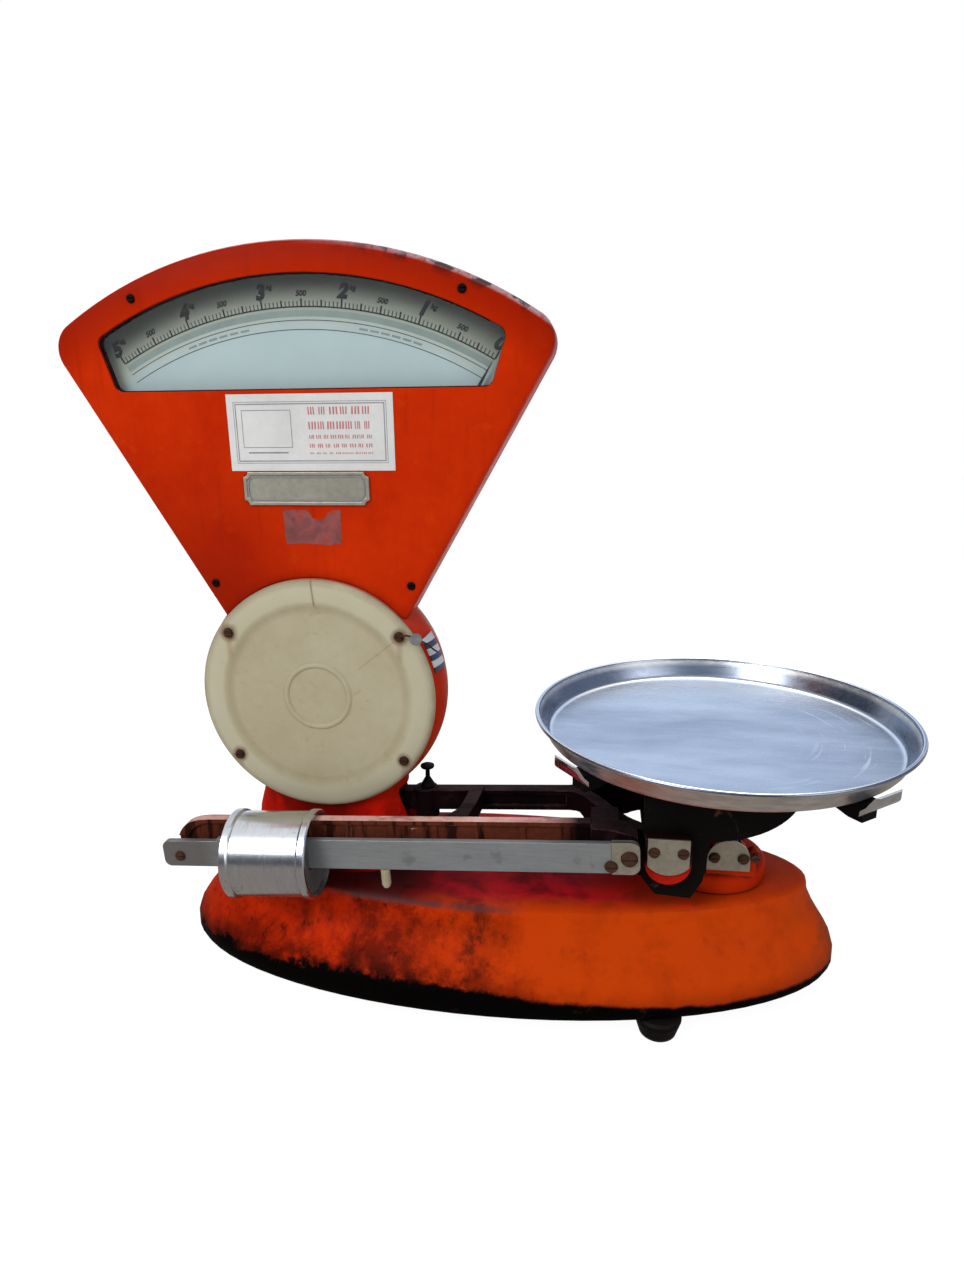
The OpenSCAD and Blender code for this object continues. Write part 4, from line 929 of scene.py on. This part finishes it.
def new_piece(name, points, faces, materials, inks=None):
    mesh = bpy.data.meshes.new(name)
    mesh.from_pydata(points, [], faces)
    for made in materials:
        mesh.materials.append(made)
    if inks:
        mesh.polygons.foreach_set("material_index", inks)
    mesh.update()
    piece = bpy.data.objects.new(name, mesh)
    bpy.context.scene.collection.objects.link(piece)
    return piece


def around(angle, radius):
    """The point (u, v) at an angle from the vertical, positive to the reader's right."""
    a = math.radians(angle)
    return radius * math.sin(a), radius * math.cos(a)


class Print:
    """Flat marks on an upright plane, gathered into one mesh. u runs to the reader's right, v up.

    The first of its inks prints what names no other.
    """

    def __init__(self, centre, y, facing, inks):
        self.centre_x, self.centre_z = centre
        self.y, self.facing, self.inks = y, facing, inks
        self.points, self.faces, self.used = [], [], []

    def shape(self, outline, ink=None):
        """A filled outline of (u, v) points, anticlockwise to the reader."""
        start = len(self.points)
        side = -self.facing
        self.points += [(self.centre_x + side * u, self.y, self.centre_z + v) for u, v in outline]
        self.faces.append(tuple(range(start, len(self.points))))
        self.used.append(self.inks.index(ink or self.inks[0]))

    def bar(self, u0, v0, u1, v1, ink=None):
        self.shape([(u0, v0), (u1, v0), (u1, v1), (u0, v1)], ink)

    def ring(self, r0, r1, a0, a1, ink=None):
        """Part of a ring between two angles, in steps of about a degree."""
        count = max(1, round(abs(a1 - a0)))
        for k in range(count):
            here, there = (a0 + (a1 - a0) * (k + j) / count for j in (0, 1))
            self.shape([around(here, r0), around(there, r0), around(there, r1), around(here, r1)], ink)

    def frame(self, half_u, half_v, width, ink, middle_u=0.0, middle_v=0.0):
        """A rectangle's outline, drawn inwards from its half sizes."""
        left, right = middle_u - half_u, middle_u + half_u
        low, high = middle_v - half_v, middle_v + half_v
        self.bar(left, low, right, low + width, ink)
        self.bar(left, high - width, right, high, ink)
        self.bar(left, low + width, left + width, high - width, ink)
        self.bar(right - width, low + width, right, high - width, ink)

    def words(self, text, height, middle_uv, turn, slant, heavy):
        """Digits or letters as a filled mesh, centred at a point and turned by an angle in degrees."""
        curve = bpy.data.curves.new("glyphs", "FONT")
        curve.body = text
        curve.size = height / CAPITAL_SHARE
        curve.shear = slant
        curve.offset = heavy
        curve.resolution_u = 3
        curve.align_x = "CENTER"
        typed = bpy.data.objects.new("glyphs", curve)
        bpy.context.scene.collection.objects.link(typed)
        bpy.context.view_layer.update()
        mesh = typed.to_mesh()
        (u, v), spin = middle_uv, math.radians(turn)
        for face in mesh.polygons:
            outline = []
            for k in face.vertices:
                gx, gy = mesh.vertices[k].co.x, mesh.vertices[k].co.y - height / 2
                outline.append((u + gx * math.cos(spin) + gy * math.sin(spin),
                                v - gx * math.sin(spin) + gy * math.cos(spin)))
            self.shape(outline)
        typed.to_mesh_clear()
        bpy.data.objects.remove(typed)
        bpy.data.curves.remove(curve)

    def piece(self, name, slot):
        made = new_piece(name, self.points, self.faces, self.inks, self.used)
        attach(made, "stand")


INK = matt("ink_black", (0.006, 0.006, 0.007), (0.018, 0.018, 0.020), 60.0, 0.5)
GREY_INK = matt("ink_grey", (0.23, 0.27, 0.26), (0.31, 0.35, 0.34), 30.0, 0.5)
SOFT_INK = matt("ink_soft", (0.05, 0.055, 0.055), (0.10, 0.11, 0.11), 40.0, 0.5)
RED_INK = matt("ink_red", (0.42, 0.10, 0.10), (0.47, 0.22, 0.21), 120.0, 0.6)
LINE_INK = matt("ink_line", (0.20, 0.19, 0.22), (0.30, 0.29, 0.31), 60.0, 0.6)

# A capital's height as a share of the font's size
CAPITAL_SHARE = 0.70


def dial_tick(marks, angle, k):
    """One line of the scale: the longest at a digit, the next at the half, every fifth bolder and darker."""
    if k % 5:
        tall, wide, ink = 3.8 * MM, 0.20, SOFT_INK
    else:
        tall, wide, ink = (7.0 * MM, 4.6 * MM, 5.6 * MM, 4.6 * MM, 7.0 * MM)[k // 5], 0.26, INK
    marks.ring(TICKS_R, TICKS_R + tall, angle - wide / 2, angle + wide / 2, ink)


def dial_print(name, y, facing):
    """The dial's scale. From behind it is mirrored, so that the pointers agree."""
    marks = Print((DIAL_X, SHAFT_Z), y, facing, (INK, GREY_INK, SOFT_INK))
    angles = [-facing * a for a in DIGIT_ANGLES]
    zero, last = angles[0], angles[-1]
    marks.ring(*BAND_R, zero, last, GREY_INK)
    for radius in THIN_LINES_R:
        marks.ring(radius, radius + 0.7 * MM, zero, last, SOFT_INK)
    marks.ring(TICKS_R - 1.1 * MM, TICKS_R, zero, last)
    for here, there in zip(angles, angles[1:]):
        for k in range(TICKS_PER_DIGIT + (there == last)):
            dial_tick(marks, here + (there - here) * k / TICKS_PER_DIGIT, k)
        half = (here + there) / 2
        marks.words("500", 4.0 * MM, around(half, FIGURES_R), half, 0.2, 0.3 * MM)
    for digit, angle in enumerate(angles):
        shown = angle if digit else angle - 0.5
        marks.words(str(digit), 10.4 * MM, around(shown, DIGITS_R), shown, 0.25, 1.0 * MM)
        if digit:
            marks.words("kg", 3.8 * MM, around(shown + 1.45, KG_R), shown, 0.2, 0.3 * MM)
    for start, end in DASH_ANGLES:
        pitch = (end - start) / DASHES
        for k in range(DASHES):
            marks.ring(*DASHES_R, start + k * pitch, start + (k + 0.8) * pitch, GREY_INK)
    marks.piece(name, "dial_enamel")


def label_print():
    """The paper label: a double border, an empty box on the left and rows of red strokes on the right."""
    half_u, _, half_v = half_size("paper_label")
    marks = Print(middle("paper_label").xz, LABEL_Y - PRINT_GAP, -1, (RED_INK, LINE_INK))
    marks.frame(half_u - 5.5 * MM, half_v - 6 * MM, 0.5 * MM, LINE_INK)
    marks.frame(half_u - 7 * MM, half_v - 7.5 * MM, 0.9 * MM, LINE_INK)
    box_u = -half_u + 33 * MM
    marks.frame(21 * MM, 15 * MM, 0.6 * MM, LINE_INK, box_u, 3 * MM)
    marks.bar(box_u - 17 * MM, -16.5 * MM, box_u + 17 * MM, -15.3 * MM, LINE_INK)
    draw = random.Random(4)
    rows_left, rows_width = -1 * MM, 54 * MM
    # Each row: its height on the label, how tall its strokes are, and how many blocks of three it has
    for v, tall, count in ((17, 6.0, 6), (5.5, 6.0, 7), (-3.5, 3.0, 9), (-10.5, 3.0, 8), (-16.5, 1.4, 10)):
        low, high = (v - tall / 2) * MM, (v + tall / 2) * MM
        block = rows_width / count
        for k in range(count):
            wide = block * draw.uniform(0.55, 0.85)
            for part in (0.0, 0.38, 0.76):
                lean = draw.uniform(-0.4, 0.4) * MM
                left = rows_left + k * block + part * wide
                right = left + 0.2 * wide
                marks.shape([(left, low), (right, low), (right + lean, high), (left + lean, high)])
    marks.piece("label_print", "label_paper")


def plate_print():
    """The bare name plate's border line, with round corners."""
    inset, corner, line = 4 * MM, 6 * MM, 0.8 * MM
    half_u, half_v = half_size("name_plate").x - inset, half_size("name_plate").z - inset
    side_u, side_v = half_u - corner, half_v - corner
    marks = Print(middle("name_plate").xz, PLATE_Y - PRINT_GAP, -1, (LINE_INK,))
    for sign in (-1, 1):
        marks.bar(-side_u, sign * half_v - line / 2, side_u, sign * half_v + line / 2)
        marks.bar(sign * half_u - line / 2, -side_v, sign * half_u + line / 2, side_v)
        for up in (-1, 1):
            for k in range(6):
                a0, a1 = (math.radians(15 * (k + j)) for j in (0, 1))
                quad = [((side_u + r * math.cos(a)) * sign, (side_v + r * math.sin(a)) * up)
                        for a, r in ((a0, corner - line / 2), (a0, corner + line / 2),
                                     (a1, corner + line / 2), (a1, corner - line / 2))]
                marks.shape(quad if sign * up > 0 else quad[::-1])
    marks.piece("plate_line", "light_plate")


def sticker_scrap():
    """The torn rest of a sticker under the name plate, with a bite out of its top edge."""
    left, right, low, high = STICKER
    draw = random.Random(11)
    bite = [(0.88, 1.0), (0.78, 0.93), (0.74, 0.78), (0.60, 0.70), (0.50, 0.78), (0.46, 0.92), (0.42, 1.0)]
    outline = [(0.03, 0.0), (0.35, 0.03), (0.7, -0.01), (0.98, 0.02), (1.0, 0.35), (0.99, 0.7), (1.0, 1.0)]
    outline += bite + [(0.2, 1.01), (0.0, 0.97), (0.02, 0.6), (0.0, 0.3)]
    points = []
    for (u0, v0), (u1, v1) in zip(outline, outline[1:] + outline[:1]):
        for k in range(5):
            t = k / 5
            points.append((u0 + (u1 - u0) * t + draw.uniform(-0.008, 0.008),
                           v0 + (v1 - v0) * t + draw.uniform(-0.014, 0.014)))
    marks = Print((0.0, 0.0), PANEL_Y - STICKER_GAP, -1, (sticker_finish(),))
    marks.shape([(left + u * (right - left), low + v * (high - low)) for u, v in points])
    marks.piece("sticker_scrap", "label_paper")


# Camera, lamps and floor


def add_camera():
    """The camera looks along +Y, turned by yaw, tipped down by pitch and rolled a little."""
    camera = bpy.data.objects.new("camera", bpy.data.cameras.new("camera"))
    camera.data.sensor_width = 36
    camera.data.lens = CAMERA_LENS
    camera.data.clip_start = 0.01
    camera.location = CAMERA_PLACE
    camera.rotation_mode = "QUATERNION"
    turn = Quaternion((0, 0, 1), -CAMERA_YAW)
    tip = Quaternion((1, 0, 0), math.pi / 2 - CAMERA_PITCH)
    roll = Quaternion((0, 0, 1), CAMERA_ROLL)
    camera.rotation_quaternion = turn @ tip @ roll
    bpy.context.scene.collection.objects.link(camera)
    bpy.context.scene.camera = camera


def aimed(thing, place, target=SCALE_MIDDLE):
    """Puts a lamp or card at a place, with its face towards a target."""
    thing.location = place
    thing.rotation_mode = "QUATERNION"
    thing.rotation_quaternion = (Vector(target) - Vector(place)).to_track_quat("-Z", "Y")


def add_lamp(name, place, power, width, height):
    lamp = bpy.data.objects.new(name, bpy.data.lights.new(name, "AREA"))
    lamp.data.shape = "RECTANGLE"
    lamp.data.energy = power
    lamp.data.size = width
    lamp.data.size_y = height
    bpy.context.scene.collection.objects.link(lamp)
    aimed(lamp, place)


def rectangle(name, half_x, half_y, made):
    """A level rectangle round the origin, as a piece of the stage."""
    corners = [(-half_x, -half_y, 0), (half_x, -half_y, 0), (half_x, half_y, 0), (-half_x, half_y, 0)]
    piece = new_piece(name, corners, [(0, 1, 2, 3)], [made])
    return piece


def add_card(name, place, width, height, colour, target):
    """A card that only reflections see, so that the bright metal has something dark to show."""
    made = bpy.data.materials.new(name)
    net, out = emptied(made, "OutputMaterial")
    net.feed(out.inputs[0], net.node("Emission", Color=colour, Strength=1.0).outputs[0])
    card = rectangle(name, width / 2, height / 2, made)
    card.visible_camera = False
    card.visible_diffuse = False
    card.visible_shadow = False
    card.visible_transmission = False
    aimed(card, place, target)


def add_floor():
    """Pale floor: white to the camera, keeping a light shadow."""
    reach = 6.0
    made = bpy.data.materials.new("floor")
    net, out = emptied(made, "OutputMaterial")
    plain = net.node("BsdfDiffuse", Color=(0.80, 0.80, 0.80))
    glow = net.node("Emission", Color=(1.0, 1.0, 1.0), Strength=1.13)
    net.blend_shaders(net.product(net.seen_share(), 0.84), plain, glow, out)
    rectangle("floor", reach, reach, made)


def add_world():
    """White to the camera and in reflections, a soft even light elsewhere."""
    world = bpy.data.worlds.new("studio")
    bpy.context.scene.world = world
    net, out = emptied(world, "OutputWorld")
    white = net.node("Background", Color=(1.0, 1.0, 1.0), Strength=1.0)
    soft = net.node("Background", Color=(0.95, 0.97, 1.0), Strength=0.42)
    net.blend_shaders(net.seen_share(), soft, white, out)


def add_studio():
    """The white room, three lamps, and the cards that the pan, poise and plates mirror."""
    add_world()
    add_floor()
    add_lamp("key_lamp", (-1.3, -1.9, 2.0), 44, 1.2, 1.2)
    add_lamp("fill_lamp", (1.9, -1.5, 1.3), 14, 1.4, 1.4)
    add_lamp("top_lamp", (0.2, 0.5, 2.4), 20, 1.6, 1.2)
    add_card("dark_room", (0.3, -2.6, 0.75), 5.0, 1.5, (0.030, 0.038, 0.055), (0.3, 0, 0.75))
    add_card("dim_room", (0.3, -2.6, 2.6), 5.0, 2.2, (0.26, 0.34, 0.47), (0.3, 0, 2.6))
    add_card("counter", (0.2, -0.95, 0.003), 4.4, 3.1, (0.30, 0.265, 0.235), (0.2, -0.95, 1))
    add_card("left_wall", (-2.4, 0.2, 1.2), 3.6, 2.4, (0.080, 0.095, 0.130), (0, 0.2, 1.2))
    add_card("right_wall", (2.4, 0.2, 1.2), 3.6, 2.4, (0.28, 0.34, 0.47), (0, 0.2, 1.2))
    add_card("back_wall", (-0.3, 2.4, 1.3), 2.8, 2.0, (0.66, 0.78, 0.98), (-0.3, 0, 1.3))
    add_card("back_corner", (1.8, 2.3, 1.3), 1.4, 2.0, (0.40, 0.49, 0.68), (1.8, 0, 1.3))
    bpy.context.scene.view_settings.view_transform = "Standard"


add_camera()
add_studio()
smooth_nodes()
finish_nodes()
dial_print("dial_print_front", DIAL_FRONT_Y - DIAL_GAP, -1)
dial_print("dial_print_rear", DIAL_REAR_Y + DIAL_GAP, 1)
label_print()
plate_print()
sticker_scrap()
